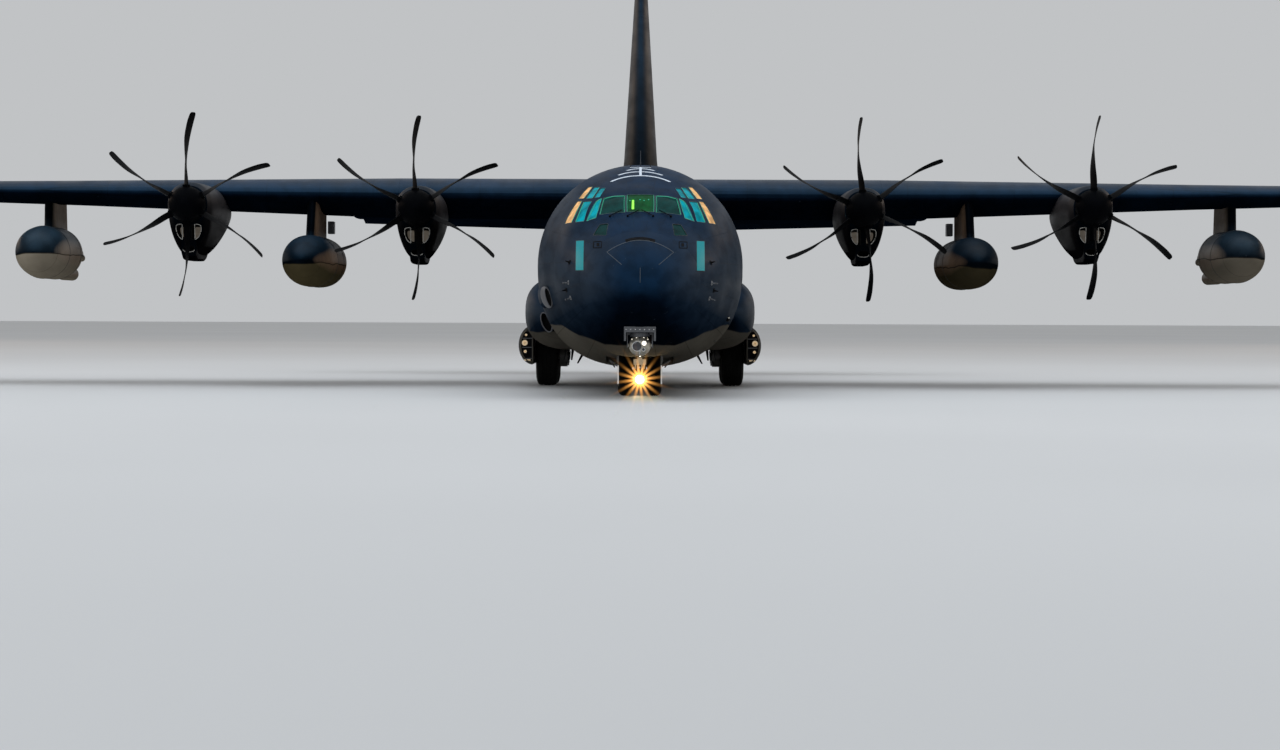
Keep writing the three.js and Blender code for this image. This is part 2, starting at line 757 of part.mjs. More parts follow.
// Air scoops of the right side, one on the nose and one ahead of the sponson; they lean
// outwards at the top. Columns: station, distance from the centreline, height, half width,
// half height, lean in degrees
const NOSE_SCOOP = [
  [3560, 1865, 2015, 62, 205, 16],
  [3660, 1890, 2015, 104, 222, 16],
  [3900, 1925, 2015, 110, 226, 16],
  [4500, 2005, 2010, 95, 222, 14],
  [5300, 2058, 2000, 45, 150, 12],
];
const LOW_SCOOP = [
  [8950, 2071, 1490, 112, 235, 22],
  [10100, 2071, 1490, 112, 235, 22],
];

function scoop(rows, wall, points = 10) {
  return loft(rows.map(([station, x, z, halfWidth, halfHeight, lean]) => {
    const [c, s] = [Math.cos(radians(lean)), Math.sin(radians(lean))];
    return Array.from({ length: points }, (_, i) => {
      const turn = (2 * Math.PI * i) / points;
      const across = (halfWidth - wall) * Math.cos(turn);
      const up = (halfHeight - wall) * Math.sin(turn);
      return at(x + across * c + up * s, station, z + up * c - across * s);
    });
  }));
}

// The mouth of a scoop, from ahead of its first row to a station inside
function scoopMouth([first, second], depth, wall) {
  const inside = [first[0] + depth, ...first.slice(1).map((size, i) => (
    THREE.MathUtils.lerp(size, second[i + 1], depth / (second[0] - first[0]))
  ))];
  return scoop([[first[0] - 50, ...first.slice(1)], first, inside], wall);
}

function rightSponson() {
  const scooped = cut(
    join(sponson(), scoop(LOW_SCOOP, 0)),
    scoopMouth(LOW_SCOOP, 400, 30),
    body(FORWARD_END, CENTER_END, -SEAM),
  );
  return mirrored(scooped);
}

// Main gear doors hang outside the sponsons: a D-shaped section, flat side inwards
function mainGearDoor() {
  const [side, height, reach, half] = [2480, 955, 325, 445];
  const arc = [-90, -60, -30, 0, 30, 60, 90].map((angle) => [
    reach * Math.cos(radians(angle)),
    half * Math.sin(radians(angle)),
  ]);
  const section = (station, share) => arc.map(([x, z]) => (
    at(side + x * share, station, height + z * (0.5 + share / 2))
  ));
  const whole = loft([section(12050, 0.6), section(12200, 1), section(15500, 1), section(15700, 0.6)]);
  return cut(whole, sponsonCore(-SEAM));
}

// Plan of the nose wheel well: half width, station. It widens round the turning wheels.
const NOSE_WELL = [[452, 3150], [452, 3650], [700, 3730], [700, 5000]];

function noseWell() {
  const right = NOSE_WELL.map(([half, station]) => [-half, station]).reverse();
  return prism('z', [...NOSE_WELL, ...right], 0, 1400);
}

function noseStrut() {
  const top = FLIGHT_DECK_TOP - 100 - SEAM;
  const outer = rod(at(0, NOSE_AXLE, 1050), at(0, NOSE_AXLE, top), 115);
  const flange = block([-220, 220], [3900, 4800], [top - 50, top]);
  const brace = rod(at(0, 4060, 1150), at(0, 4650, top - 70), 55);
  const bore = rod(at(0, NOSE_AXLE, 1000), at(0, NOSE_AXLE, 1500), 77);
  return cut(join(outer, flange, brace), bore);
}

function noseFork() {
  const axle = NOSE_AXLE_HEIGHT;
  const piston = rod(at(0, NOSE_AXLE, axle), at(0, NOSE_AXLE, 1450), 70);
  const lug = rod(at(-135, NOSE_AXLE, axle), at(135, NOSE_AXLE, axle), 110);
  const link = block([-50, 50], [3850, 4080], [700, 900]);
  const lampArm = block([-45, 45], [3780, 4050], [300, 520]);
  const lamp = rod(at(0, 3640, 345), at(0, 3800, 345), 100, 80);
  const bore = rod(at(-200, NOSE_AXLE, axle), at(200, NOSE_AXLE, axle), 66);
  return cut(join(piston, lug, link, lampArm, lamp), bore);
}

// The open nose gear doors hang in the narrow front of the well, ahead of the turning wheels
function noseGearDoor() {
  const side = [[3230, 330], [3320, 215], [3600, 215], [3600, 950], [3230, 950]];
  return prism('x', side, NOSE_WELL[0][0] - SEAM - 26, NOSE_WELL[0][0] - SEAM);
}

// Sensor turret under the chin

const TURRET = [0, 1150, 1072];
const BALL_RADIUS = 215;

function ball(radius) {
  const geometry = new THREE.SphereGeometry(radius, 16, 8);
  geometry.rotateX(Math.PI / 2);
  geometry.translate(...TURRET);
  return toGeometry(toSolid(geometry));
}

function turretBall() {
  const [, station, height] = TURRET;
  const trunnions = rod(at(-232, station, height), at(232, station, height), 35);
  return join(ball(BALL_RADIUS), trunnions);
}

function turretYoke() {
  const [, station, height] = TURRET;
  const disc = rod(at(0, station, height + 165), at(0, station, height + 238), 200, 200, 16);
  const beam = block([-252, 252], [station - 50, station + 50], [height + 200, height + 238]);
  const arms = [-1, 1].map((side) => block(
    [side * 235, side * 252].toSorted((a, b) => a - b),
    [station - 50, station + 50],
    [height - 50, height + 238],
  ));
  return cut(join(disc, beam, ...arms), ball(BALL_RADIUS + CLEARANCE));
}

function turretMount() {
  const [, station, height] = TURRET;
  const plate = block([-310, 310], [station - 300, station + 330], [height + 251, height + 363]);
  const cheeks = [[-310, -270], [270, 310]].map((side) => (
    block(side, [station - 300, station + 330], [height + 83, height + 363])
  ));
  return cut(join(plate, ...cheeks), body(0, 3000, -SEAM));
}

// Round recess in the chin, round the turret's yoke
function turretRecess() {
  const [, station, height] = TURRET;
  return rod(at(0, station, 900), at(0, station, height + 280), 275, 275, 16);
}

// Cockpit inside

function seat(x, station) {
  const floor = FLIGHT_DECK_TOP - 5;
  return join(
    block([x - 150, x + 150], [station - 150, station + 150], [floor, floor + 300]),
    block([x - 260, x + 260], [station - 270, station + 240], [floor + 280, floor + 430]),
    block([x - 250, x + 250], [station + 180, station + 300], [floor + 400, floor + 1220]),
  );
}

function flightDeck() {
  const floor = block([-2100, 2100], [2050, 6100], [FLIGHT_DECK_TOP - 100, FLIGHT_DECK_TOP]);
  const stairs = block([350, 2200], [4850, 6000], [1500, 2500]);
  const bulkhead = cut(
    block([-2200, 2200], [6060, 6140], [CARGO_FLOOR_TOP + SEAM, 5000]),
    block([-350, 900], [6000, 6200], [900, 3700]),
  );
  const panel = prism('x', [[2300, 2100], [2750, 2100], [2650, 3250], [2350, 3500], [2250, 3450]],
    -1250, 1250);
  const pedestal = block([-200, 200], [2600, 3600], [2100, 2850]);
  const inside = common(
    join(cut(floor, stairs), bulkhead, panel, pedestal),
    body(1300, 6200, WALL + 45),
  );
  return join(inside, seat(-620, 3350), seat(620, 3350), seat(0, 4550));
}

function cargoFloor() {
  return common(
    block([-1900, 1900], [4860, CENTER_END - 20], [800, CARGO_FLOOR_TOP]),
    body(4000, 19000, WALL + SEAM),
  );
}

// Body pieces

function forwardFuselage() {
  const shell = bodyShell(RADOME_END + SEAM, FORWARD_END, 0, WALL, 200);
  const windows = windowOutlines().map((corners) => windowCutter(corners, 0, 200, 320));
  const hull = cut(shell, ...windows, sideDoor(CREW_DOOR, 0), noseWell(), turretRecess());
  return cut(join(hull, mirrored(scoop(NOSE_SCOOP, 0))), mirrored(scoopMouth(NOSE_SCOOP, 100, 14)));
}

function crewDoor() {
  return common(bodyShell(4000, FORWARD_END, 0, WALL), sideDoor(CREW_DOOR, CLEARANCE));
}

function glazing() {
  const band = common(
    bodyShell(1300, 4200, WALL + SEAM, 30),
    block([-1700, 1700], [1400, 3900], [3120, 4400]),
  );
  const pane = bodyShell(RADOME_END, 4800, 20, WALL, 200);
  const panes = windowOutlines().map((corners) => (
    common(pane, windowCutter(corners, -SEAM, 200, 300))
  ));
  return join(band, ...panes);
}

function centerFuselage() {
  const shell = bodyShell(FORWARD_END + SEAM, CENTER_END - SEAM, 0, WALL);
  const door = sideDoor(PARATROOP_DOOR, 0);
  const wells = [block(...WHEEL_WELL)];
  return cut(shell, wingCutter(), door, mirrored(door), ...wells, ...wells.map(mirrored));
}

function paratroopDoor() {
  return common(
    bodyShell(FORWARD_END, CENTER_END, 0, WALL),
    sideDoor(PARATROOP_DOOR, SEAM),
  );
}

function aftShell() {
  return bodyShell(CENTER_END, LENGTH, 0, WALL - 20, -10, 2500);
}

function aftFuselage() {
  return cut(
    aftShell(),
    rampOpening(),
    cargoDoorSpace(CLEARANCE, -60),
    wholeSpan(TAILPLANE.slice(0, 2), SEAM),
  );
}

function ramp() {
  return common(
    body(CENTER_END - 400, 23000, 0),
    prism('x', rampSide(), -RAMP_HALF, RAMP_HALF),
  );
}

const cargoDoor = () => common(aftShell(), cargoDoorSpace(0, SPLIT_GAP));

// Stores under the wing

function store({ side, height, profile, pylon }) {
  const ring = ([station, rise], half) => at(side + half, station, height + rise);
  const sides = [-PYLON_HALF, PYLON_HALF];
  const hanger = loft(sides.map((half) => pylon.map((corner) => ring(corner, half))));
  return cut(
    join(turned(profile, side, height, 16), hanger),
    wing(WING_JOINT, WING_TIP, SEAM),
    block([side - 500, side + 500], [9000, 18000], [4420, 6000]),
  );
}

// Assembly

const PAINT = { color: 0x2a2f3a, roughness: 0.45, metalness: 0.1 };
const MATERIALS = {
  paint: PAINT,
  belly: { color: 0x5d6163, roughness: 0.5, metalness: 0.1 },
  radome: { color: 0x252b36, roughness: 0.4, metalness: 0 },
  glass: { color: 0x17726c, roughness: 0.1, metalness: 0 },
  cabin: { color: 0x4a5450, roughness: 0.7, metalness: 0 },
  blade: { color: 0x16181b, roughness: 0.5, metalness: 0 },
  engine: { color: 0x55524c, roughness: 0.5, metalness: 0.8 },
  gear: { color: 0xa9adb0, roughness: 0.4, metalness: 0.6 },
  tyre: { color: 0x1a1a1b, roughness: 0.9, metalness: 0 },
  turret: { color: 0x8d9295, roughness: 0.35, metalness: 0.5 },
};

const model = new THREE.Group();

function add(name, geometry, material) {
  const mesh = new THREE.Mesh(
    toGeometry(toSolid(geometry)),
    new THREE.MeshStandardMaterial(MATERIALS[material]),
  );
  mesh.name = name;
  model.add(mesh);
}

function addPair(name, geometry, material) {
  add(`${name}_left`, geometry, material);
  add(`${name}_right`, mirrored(geometry), material);
}

add('radome', cut(body(0, RADOME_END, 0), turretRecess()), 'radome');
add('forward_fuselage', forwardFuselage(), 'paint');
add('cockpit_glazing', glazing(), 'glass');
add('center_fuselage', centerFuselage(), 'paint');
add('aft_fuselage', aftFuselage(), 'paint');
add('cargo_floor', cargoFloor(), 'cabin');
add('flight_deck', flightDeck(), 'cabin');
add('crew_door', crewDoor(), 'paint');
add('cargo_ramp', ramp(), 'paint');
add('aft_cargo_door', cargoDoor(), 'paint');
addPair('paratroop_door', paratroopDoor(), 'paint');

add('wing_center', wingCenter(), 'paint');
addPair('wing', outerWing(), 'paint');
addPair('flap_inboard', flap(FLAP_ROOT, WING_JOINT - FLAP_GAP), 'paint');
addPair('flap_outboard', flap(WING_JOINT + FLAP_GAP, FLAP_END - FLAP_GAP), 'paint');
addPair('aileron', aileron(FLAP_END + FLAP_GAP, AILERON_END), 'paint');

add('tailplane', tailplane(), 'paint');
addPair('elevator', elevator(), 'paint');
add('fin', fin(), 'paint');
add('rudder', rudder(), 'paint');

ENGINES.forEach(([name, x, z, turn]) => {
  add(`nacelle_${name}`, nacelle(x, z), 'paint');
  add(`engine_${name}`, engineBlock(x, z), 'engine');
  add(`propeller_${name}`, propeller(x, z, turn), 'blade');
});

add('sponson_left', sponson(), 'paint');
add('sponson_right', rightSponson(), 'paint');
addPair('main_struts', mainStruts(), 'gear');
['front', 'rear'].forEach((name, i) => {
  const tyre = wheel(MAIN_TYRE, MAIN_TRACK_HALF, MAIN_AXLES[i], MAIN_AXLE_HEIGHT);
  addPair(`main_wheel_${name}`, tyre, 'tyre');
});
addPair('main_gear_door', mainGearDoor(), 'belly');
add('nose_strut', noseStrut(), 'gear');
add('nose_fork', noseFork(), 'gear');
add('nose_wheels', wheel(NOSE_PAIR, 0, NOSE_AXLE, NOSE_AXLE_HEIGHT), 'tyre');
addPair('nose_gear_door', noseGearDoor(), 'belly');

addPair('fuel_tank', store(TANK), 'paint');
addPair('refuel_pod', store(POD), 'paint');
add('turret_mount', turretMount(), 'gear');
add('turret_yoke', turretYoke(), 'gear');
add('turret_ball', turretBall(), 'turret');

model.scale.setScalar(MODEL_SCALE);
model.position.y = (-MODEL_SCALE * LENGTH) / 2;

export default model;
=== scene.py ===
import math

import bmesh
import bpy
import numpy as np
from mathutils import Matrix, Vector


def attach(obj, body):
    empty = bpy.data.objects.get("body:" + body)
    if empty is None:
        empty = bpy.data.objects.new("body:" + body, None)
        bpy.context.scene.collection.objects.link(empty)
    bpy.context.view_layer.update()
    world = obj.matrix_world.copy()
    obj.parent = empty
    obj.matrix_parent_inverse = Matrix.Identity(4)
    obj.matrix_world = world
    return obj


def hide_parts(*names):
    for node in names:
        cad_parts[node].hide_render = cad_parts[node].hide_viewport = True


# Finish and fine forms of a half-size military transport plane. Every size below is the real
# one in millimetres: x to the aircraft's left, the station aft of the nose tip, and the height
# above the ground. placed() turns these into model metres in the shared frame.

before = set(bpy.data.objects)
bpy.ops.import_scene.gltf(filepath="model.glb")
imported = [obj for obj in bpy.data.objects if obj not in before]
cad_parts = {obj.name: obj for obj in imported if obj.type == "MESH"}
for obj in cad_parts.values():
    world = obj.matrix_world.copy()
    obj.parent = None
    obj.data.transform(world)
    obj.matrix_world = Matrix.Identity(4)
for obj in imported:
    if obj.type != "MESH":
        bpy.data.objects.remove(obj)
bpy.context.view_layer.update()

# Driving dimensions
MODEL_SCALE = 0.5
UNIT = MODEL_SCALE / 1000
LENGTH = 29790
CLEARANCE = 12
WALL = 130
RADOME_END = 1050
FORWARD_END = 6220
CENTER_END = 18720
CARGO_FLOOR_TOP = 1040
WING_JOINT = 5600
WING_TIP = 20205
FLAP_ROOT = 2250
FLAP_END = 13200
FLAP_GAP = 20
AILERON_END = 19900
FLAP_SHARE = 0.72
AILERON_SHARE = 0.77
PROP_STATION = 9700
MAIN_TRACK_HALF = 2170
MAIN_AXLES = {"front": 13130, "rear": 14660}
MAIN_AXLE_HEIGHT = 694.3
NOSE_AXLE = 4110
NOSE_AXLE_HEIGHT = 482.6
ELEVATOR_HINGE = 27600
ELEVATOR_ROOT = 950
ELEVATOR_END = 7850
ELEVATOR_DROOP = 15
RUDDER_SPAN = [(27750, 4960), (28120, 11350)]
TURRET = (0, 1150, 1072)
BALL_RADIUS = 215
# Eyes of the sensor ball. Columns: x, height above its middle, radius
TURRET_EYES = [(-55, -21, 92), (82, 37, 46), (70, -85, 30)]
# Small painted glints on its face as (x, height above its middle)
TURRET_GLINTS = [(-151, 113), (-64, 143), (75, 143), (153, 113)]
EDGE = 8

# Sections of the body. Columns: station, top, bottom, half width, height of the widest line,
# upper power, lower power
BODY = [
    [0, 2208, 2202, 3, 2205, 2, 2],
    [7, 2300, 2110, 100, 2205, 2, 2],
    [60, 2455, 1990, 300, 2205, 2, 2],
    [200, 2690, 1830, 560, 2225, 2, 2],
    [500, 2980, 1600, 850, 2260, 2, 2],
    [1050, 3300, 1350, 1180, 2330, 2, 2],
    [1500, 3500, 1190, 1370, 2370, 2, 2],
    [1950, 3680, 1065, 1520, 2410, 2.1, 2.05],
    [2500, 4070, 930, 1665, 2450, 2.3, 2.1],
    [3300, 4340, 780, 1825, 2520, 2.35, 2.1],
    [4200, 4580, 660, 2010, 2600, 2.25, 2.2],
    [5200, 4760, 585, 2130, 2660, 2.1, 2.3],
    [6220, 4840, 550, 2170, 2700, 2, 2.4],
    [18720, 4840, 550, 2170, 2700, 2, 2.8],
    [20300, 4850, 1143, 2010, 2900, 2, 3.2],
    [21900, 4870, 1750, 1800, 3150, 2, 3.6],
    [23600, 4890, 2430, 1530, 3500, 2, 3.4],
    [25300, 4900, 3080, 1190, 3850, 2, 3],
    [27400, 4880, 3750, 760, 4250, 2, 2.4],
    [29100, 4830, 4260, 380, 4540, 2, 2],
    [29790, 4740, 4500, 160, 4620, 2, 2],
]
BODY_POINTS = 96
# A plate on the skin faces away from this point: x, distance aft of the plate, height
BODY_HEART = (0, 1500, 2400)
PLATE_SINK = 6
# The tail of the body: the thickness of its wall and the length of its solid end
AFT_WALL = WALL - 20
AFT_PLUG = 2500

# Lifting surfaces. Columns: span, leading edge, trailing edge, height of the chord line,
# thickness as a share of the chord, incidence in degrees
WING = [
    [0, 12100, 16980, 4370, 0.18, 3],
    [5600, 12100, 16980, 4370, 0.18, 3],
    [13200, 12390, 16020, 4480, 0.15, 1.5],
    [20100, 12650, 15140, 4560, 0.12, 0],
    [20170, 12700, 15080, 4560, 0.1, 0],
    [20205, 12780, 15000, 4560, 0.07, 0],
]
TAILPLANE = [
    [0, 24950, 29050, 4430, 0.13, 0],
    [7900, 26400, 28300, 4430, 0.1, 0],
    [7990, 26480, 28240, 4430, 0.08, 0],
    [8025, 26560, 28180, 4430, 0.06, 0],
]
# For the fin the span is the height, and the fourth column is its side
FIN = [
    [4700, 21000, 29250, 0, 0.12, 0],
    [4950, 21900, 29240, 0, 0.135, 0],
    [5300, 22750, 29220, 0, 0.155, 0],
    [5900, 23450, 29180, 0, 0.155, 0],
    [11450, 26810, 28900, 0, 0.12, 0],
    [11700, 27080, 28810, 0, 0.11, 0],
    [11840, 27400, 28700, 0, 0.09, 0],
]
CHORD_STEPS = 26
# Share of the chord about which a section is pitched
CAMBER_PIVOT = 0.4
# Room for cutters: heights round the wing and the tailplane, stations ahead of and behind the
# wing and behind the tail, and the fin's sides
WING_HEIGHTS = (3000, 6000)
TAILPLANE_HEIGHTS = (3600, 5300)
WING_FRONT = 12000
WING_BACK = 18000
TAIL_BACK = 30500
FIN_SIDES = (-900, 900)
# Control surfaces: how far a round nose stays below the skin, and the room ahead of it
NOSE_SINK = 4
HINGE_ROOM = 20

# Cockpit windows of the left side as seen from ahead: corners as (x, height)
WINDOWS = {
    "windshield": [(300, 4050), (735, 4005), (812, 3650), (300, 3690)],
    "quarter": [(765, 4000), (900, 3925), (1080, 3520), (880, 3580)],
    "side_front": [(975, 3936), (1137, 3936), (1299, 3505), (1122, 3520)],
    "side_rear": [(1172, 3955), (1277, 3955), (1525, 3487), (1369, 3500)],
    "upper_front": [(700, 4225), (800, 4225), (925, 4010), (815, 4020)],
    "upper_middle": [(822, 4250), (935, 4250), (1104, 4000), (960, 4000)],
    "upper_rear": [(969, 4270), (1061, 4270), (1263, 4010), (1135, 4010)],
    "lower_nose": [(632, 3455), (800, 3445), (925, 3225), (668, 3215)],
}
CENTRE_WINDOW = [(-275, 4060), (275, 4060), (275, 3700), (-275, 3700)]
WINDOW_CORNER = 22
# Painted highlights along the inner edges of the panes as (x, height), in the centre and on the left
# side
CENTRE_PANE_HIGHLIGHTS = [
    [(-262, 4046), (-268, 3880), (-262, 3712)],
    [(262, 4046), (268, 3880), (262, 3712)],
]
PANE_HIGHLIGHTS = [
    [(320, 4036), (326, 3860), (318, 3704)],
    [(330, 4036), (540, 4030), (712, 3988)],
    [(724, 3986), (766, 3820), (800, 3664)],
    [(778, 3984), (842, 3956), (888, 3912)],
    [(892, 3902), (970, 3720), (1064, 3528)],
    [(1060, 3524), (970, 3560), (900, 3590)],
    [(778, 3978), (828, 3780), (884, 3600)],
    [(1140, 3924), (1220, 3700), (1290, 3520)],
    [(1186, 3946), (1280, 3720), (1376, 3512)],
    [(838, 4240), (890, 4130), (968, 4012)],
    [(984, 4258), (1060, 4130), (1140, 4020)],
]
# Parts of the head-up display as (x, height): the strip's corners, a corner of each mark
DISPLAY_STRIP = [(-168, 3946), (-128, 3946), (-126, 3762), (-172, 3762)]
DISPLAY_MARKS = [(-220, 3930), (-20, 3950), (60, 3935), (150, 3952)]

# Engines: distance from the centreline, height of the thrust line, turn of the propeller
ENGINES = {
    "outboard_right": (-10160, 4100, -0.3),
    "inboard_right": (-5020, 4040, -2.7),
    "inboard_left": (5020, 4040, -6.8),
    "outboard_left": (10160, 4100, -1.3),
}
# Sections of a nacelle against its thrust line. Columns: station, top, bottom, half width,
# widest line, upper power, lower power
NACELLE = [
    [9990, 430, -460, 425, 0, 2.2, 2.2],
    [10120, 500, -960, 480, 0, 2.2, 1.9],
    [10380, 520, -1180, 510, 0, 2.2, 1.9],
    [11300, 530, -1200, 530, 0, 2.2, 1.9],
    [12200, 520, -1090, 540, -20, 2.2, 1.9],
    [13200, 450, -800, 500, -60, 2, 2],
    [14300, 250, -430, 380, -60, 2, 2],
    [15000, 150, -180, 220, -20, 2, 2],
]
# The curves through them run against the square root of the distance from this station
NACELLE_WARP = 9900
# The square chin under a nacelle, round its oil cooler, in the same columns
CHIN = [
    [10060, -720, -1150, 170, -950, 5, 5],
    [10300, -720, -1250, 178, -950, 5, 5],
    [11500, -720, -1250, 178, -950, 5, 5],
    [12500, -720, -900, 130, -810, 5, 5],
]
# An air intake's outline beside the middle of a nacelle, against its thrust line
INTAKE = [(56, -440), (165, -432), (278, -450), (284, -560), (248, -680), (180, -765),
          (95, -800), (56, -790)]
# The oil cooler's mouth: height against the thrust line, half width, half height
COOLER = (-985, 135, 75)
DUCT_POWER = 2.4
# An intake's lining: how far it narrows, and its inner outline as a share of the outer one
THROAT_END = 0.9
THROAT_WALL = 0.93
# The exhaust pipe and its bore. Columns: station and height of the start, station and height
# of the end, radius, end radius
EXHAUST = [
    (13300, -430, 14180, -560, 205, 180),
    (13400, -445, 14260, -572, 185, 164),
]
# Sections of a blade. Columns: radius, chord, thickness, pitch in degrees, sweep of its middle
BLADE = [
    [300, 220, 130, 110, 0],
    [520, 320, 90, 107, 0],
    [900, 410, 52, 98, -15],
    [1400, 430, 34, 84, 10],
    [1800, 370, 20, 76, 85],
    [1985, 300, 13, 72, 140],
    [2040, 230, 9, 70, 158],
    [2057, 150, 7, 70, 165],
]
# Radii of its rings. Columns: first, last, count
BLADE_PARTS = [(300, 1850, 22), (1900, 2057, 8)]
BLADES = 6
# Sections of a sponson. Columns: station, middle height, half height, outer reach
SPONSON = [
    [9250, 1760, 240, 2130],
    [9700, 1750, 560, 2390],
    [10400, 1730, 760, 2560],
    [11300, 1720, 860, 2625],
    [15800, 1720, 860, 2625],
    [16600, 1740, 700, 2500],
    [17150, 1780, 330, 2200],
]
# Stations of its rings. Columns: first, last, count
SPONSON_PARTS = [(9250, 11300, 14), (11900, 15500, 7), (15800, 17150, 10)]
SPONSON_POWER = 2.6
SPONSON_ROOT = 1500
WHEEL_WELL = [(1845, 2530), (12330, 15460), (0, 1540)]
LEG_WELL = [(1500, 1846), (12900, 14900), (0, 1300)]
LEG_SIDE = 1800
LEG_RADIUS = 85
# Hoses on a main leg: points as (x, distance ahead of the axle, height), and the radius
GEAR_HOSES = [
    ([(1715, 150, 900), (1670, 200, 780), (1680, 230, 620), (1720, 200, 520)], 13),
    ([(1760, 200, 880), (1740, 262, 760), (1780, 262, 600)], 11),
]
# Upright rods of the nose leg. Columns: low end, high end, radius
NOSE_LEG_RODS = [(1050, 2019, 115), (1049, 1115, 138), (1290, 1340, 128)]
# Its slanting brace (first point, last point, radius), the block on top and the lamp's arm
# (from and to in x, station and height), and a hose
NOSE_BRACE = [(0, 4060, 1150), (0, 4650, 1949), 55]
NOSE_MOUNT = [(-220, 220), (3900, 4800), (1969, 2019)]
LAMP_ARM = [(-40, 40), (3790, 4030), (330, 520)]
NOSE_HOSE = [(60, 4000, 640), (85, 3920, 560), (70, 3850, 440), (40, 3800, 400)]
# Links ahead of the nose leg, as seen from the side: corners as (station, height)
LINK_MIDDLE = [(3850, 655), (3900, 640), (4060, 700), (4060, 880), (3900, 890), (3850, 850)]
LINK_CHEEK = [(3850, 662), (3930, 640), (4030, 700), (3930, 760), (3850, 748)]
# From and to in x of a cheek, and the rods beside it, on the left. Columns: first, last point
CHEEK_SIDES = (54, 128)
LINK_RODS = [
    ((92, 3890, 655), (92, 3880, 560)),
    ((42, 3870, 660), (40, 3830, 470)),
]
# Profile of the taxi lamp's housing: station, radius
LAMP_SHADE = [(3800, 0), (3798, 60), (3760, 92), (3640, 104), (3634, 104), (3634, 94),
              (3650, 90), (3651, 0)]
# Plan of the nose wheel well: half width, station
NOSE_WELL = [(452, 3150), (452, 3650), (700, 3730), (700, 5000)]

# Stores under the wing. Profiles and bands: station, radius. Pylons: corners of the side as
# station and rise, from the lower front one round to the upper front one
TANK = {
    "side": 7620,
    "height": 2880,
    "profile": [(9900, 0), (9990, 150), (10500, 400), (11200, 575), (11800, 595),
                (14200, 595), (15100, 500), (16100, 260), (16700, 0)],
    "pylon": [(11500, 0), (14700, 0), (14500, 1700), (12400, 1700)],
    "bands": [(12300, 597), (13700, 597)],
}
POD = {
    "side": 13900,
    "height": 3070,
    "profile": [(11250, 0), (11310, 180), (11600, 430), (12000, 570), (12500, 615),
                (13900, 615), (14800, 440), (15500, 300), (16250, 170), (16251, 0)],
    "pylon": [(12900, 0), (15150, 0), (14800, 1700), (13100, 1700)],
    "bands": [(12450, 616), (13800, 616)],
}
PYLON_HALF = 140
# Profiles under and behind a pod, and the outer and inner ones of its drogue
HOSE_CASE = [(13300, 0), (13400, 70), (13800, 130), (14300, 158), (15450, 158), (15560, 130),
             (15600, 80), (15604, 0)]
POD_HUMP = [(15300, 0), (15320, 60), (15500, 110), (15900, 120), (16150, 100), (16180, 0)]
DROGUE = [
    [(16230, 40), (16300, 100), (16400, 140), (16404, 140)],
    [(16220, 20), (16300, 88), (16400, 128), (16410, 130)],
]

# Doors in the side: the radius of their corners, how far from the centreline their cut starts
# and ends, and the stations and heights of each
DOOR_CORNER = 90
DOOR_REACH = (700, 2600)
CREW_DOOR = [(4980, 5740), (1110, 2900)]
PARATROOP_DOOR = [(17250, 18150), (1110, 2930)]
# Ramp and upper cargo door: the ramp's pivot as (station, height), the radius of its round front,
# its slope, half width and end, the line that splits it from the door, and the door's own end,
# half widths in front and behind, and top
RAMP_PIVOT = (18985, 790)
RAMP_NOSE = 250
RAMP_SLOPE = math.tan(math.radians(19.5))
RAMP_HALF = 1450
RAMP_END = 21880
SPLIT_HEIGHT = 1742
SPLIT_LEAN = 0.49
SPLIT_GAP = 25
CARGO_DOOR_END = 25290
CARGO_DOOR_HALF = (1450, 940)
CARGO_DOOR_TOP = 3500

# Camera and studio

# The photograph's camera, in real millimetres and in pixels of its 1280 by 750 frame
PHOTO_WIDTH = 1280
PHOTO_FOCAL = 3000
PHOTO_MIDDLE = (640, 375)
PHOTO_HORIZON = 315
CAMERA_STATION = -57500
CAMERA_HEIGHT = 1660
CAMERA_ROLL = -0.22
SENSOR_WIDTH = 36

# The studio and how far the camera sees, in model metres and watts
CAMERA_REACH = 500
SKY_COLOUR = (0.86, 0.88, 0.90)
SKY_STRENGTH = 0.62
FLOOR_REACH = 260
WARM_LIGHT = (1, 0.66, 0.40)
# Columns: name, place, target, size, power, colour
STUDIO_LAMPS = [
    ("overhead", (0, -6, 30), (0, 0, 0), (60, 40), 9000, (0.86, 0.93, 1)),
    ("front", (-26, -56, 30), (-2, -4, 1), (40, 12), 5600, (0.80, 0.90, 1)),
    ("warm_left", (42, 42, 17), (4, -6, 2), (30, 16), 1900, WARM_LIGHT),
    ("warm_right", (-42, 42, 17), (-4, -6, 2), (30, 16), 1900, WARM_LIGHT),
]

# The taxi lamp: the place of its glass, its colour, how bright the glass and the filament are,
# and the distances from its middle between which one fades into the other (model metres)
TAXI_LAMP = (0, 3636, 345)
LAMP_COLOUR = (1.0, 0.78, 0.45)
LAMP_GLOW = 12
FILAMENT_GLOW = 1600
FILAMENT_REACH = (0.008, 0.018)
# The glare filter that draws its star
STAR = {"Threshold": 4.0 * LAMP_GLOW, "Streaks": 16, "Streaks Angle": 0.12, "Iterations": 3,
        "Fade": 0.82, "Color Modulation": 0.0, "Strength": 0.06, "Tint": (1, 0.55, 0.2, 1)}


def placed(points):
    """Real millimetres as model metres in the shared frame."""
    return (np.asarray(points, float).reshape(-1, 3) - (0, LENGTH / 2, 0)) * UNIT


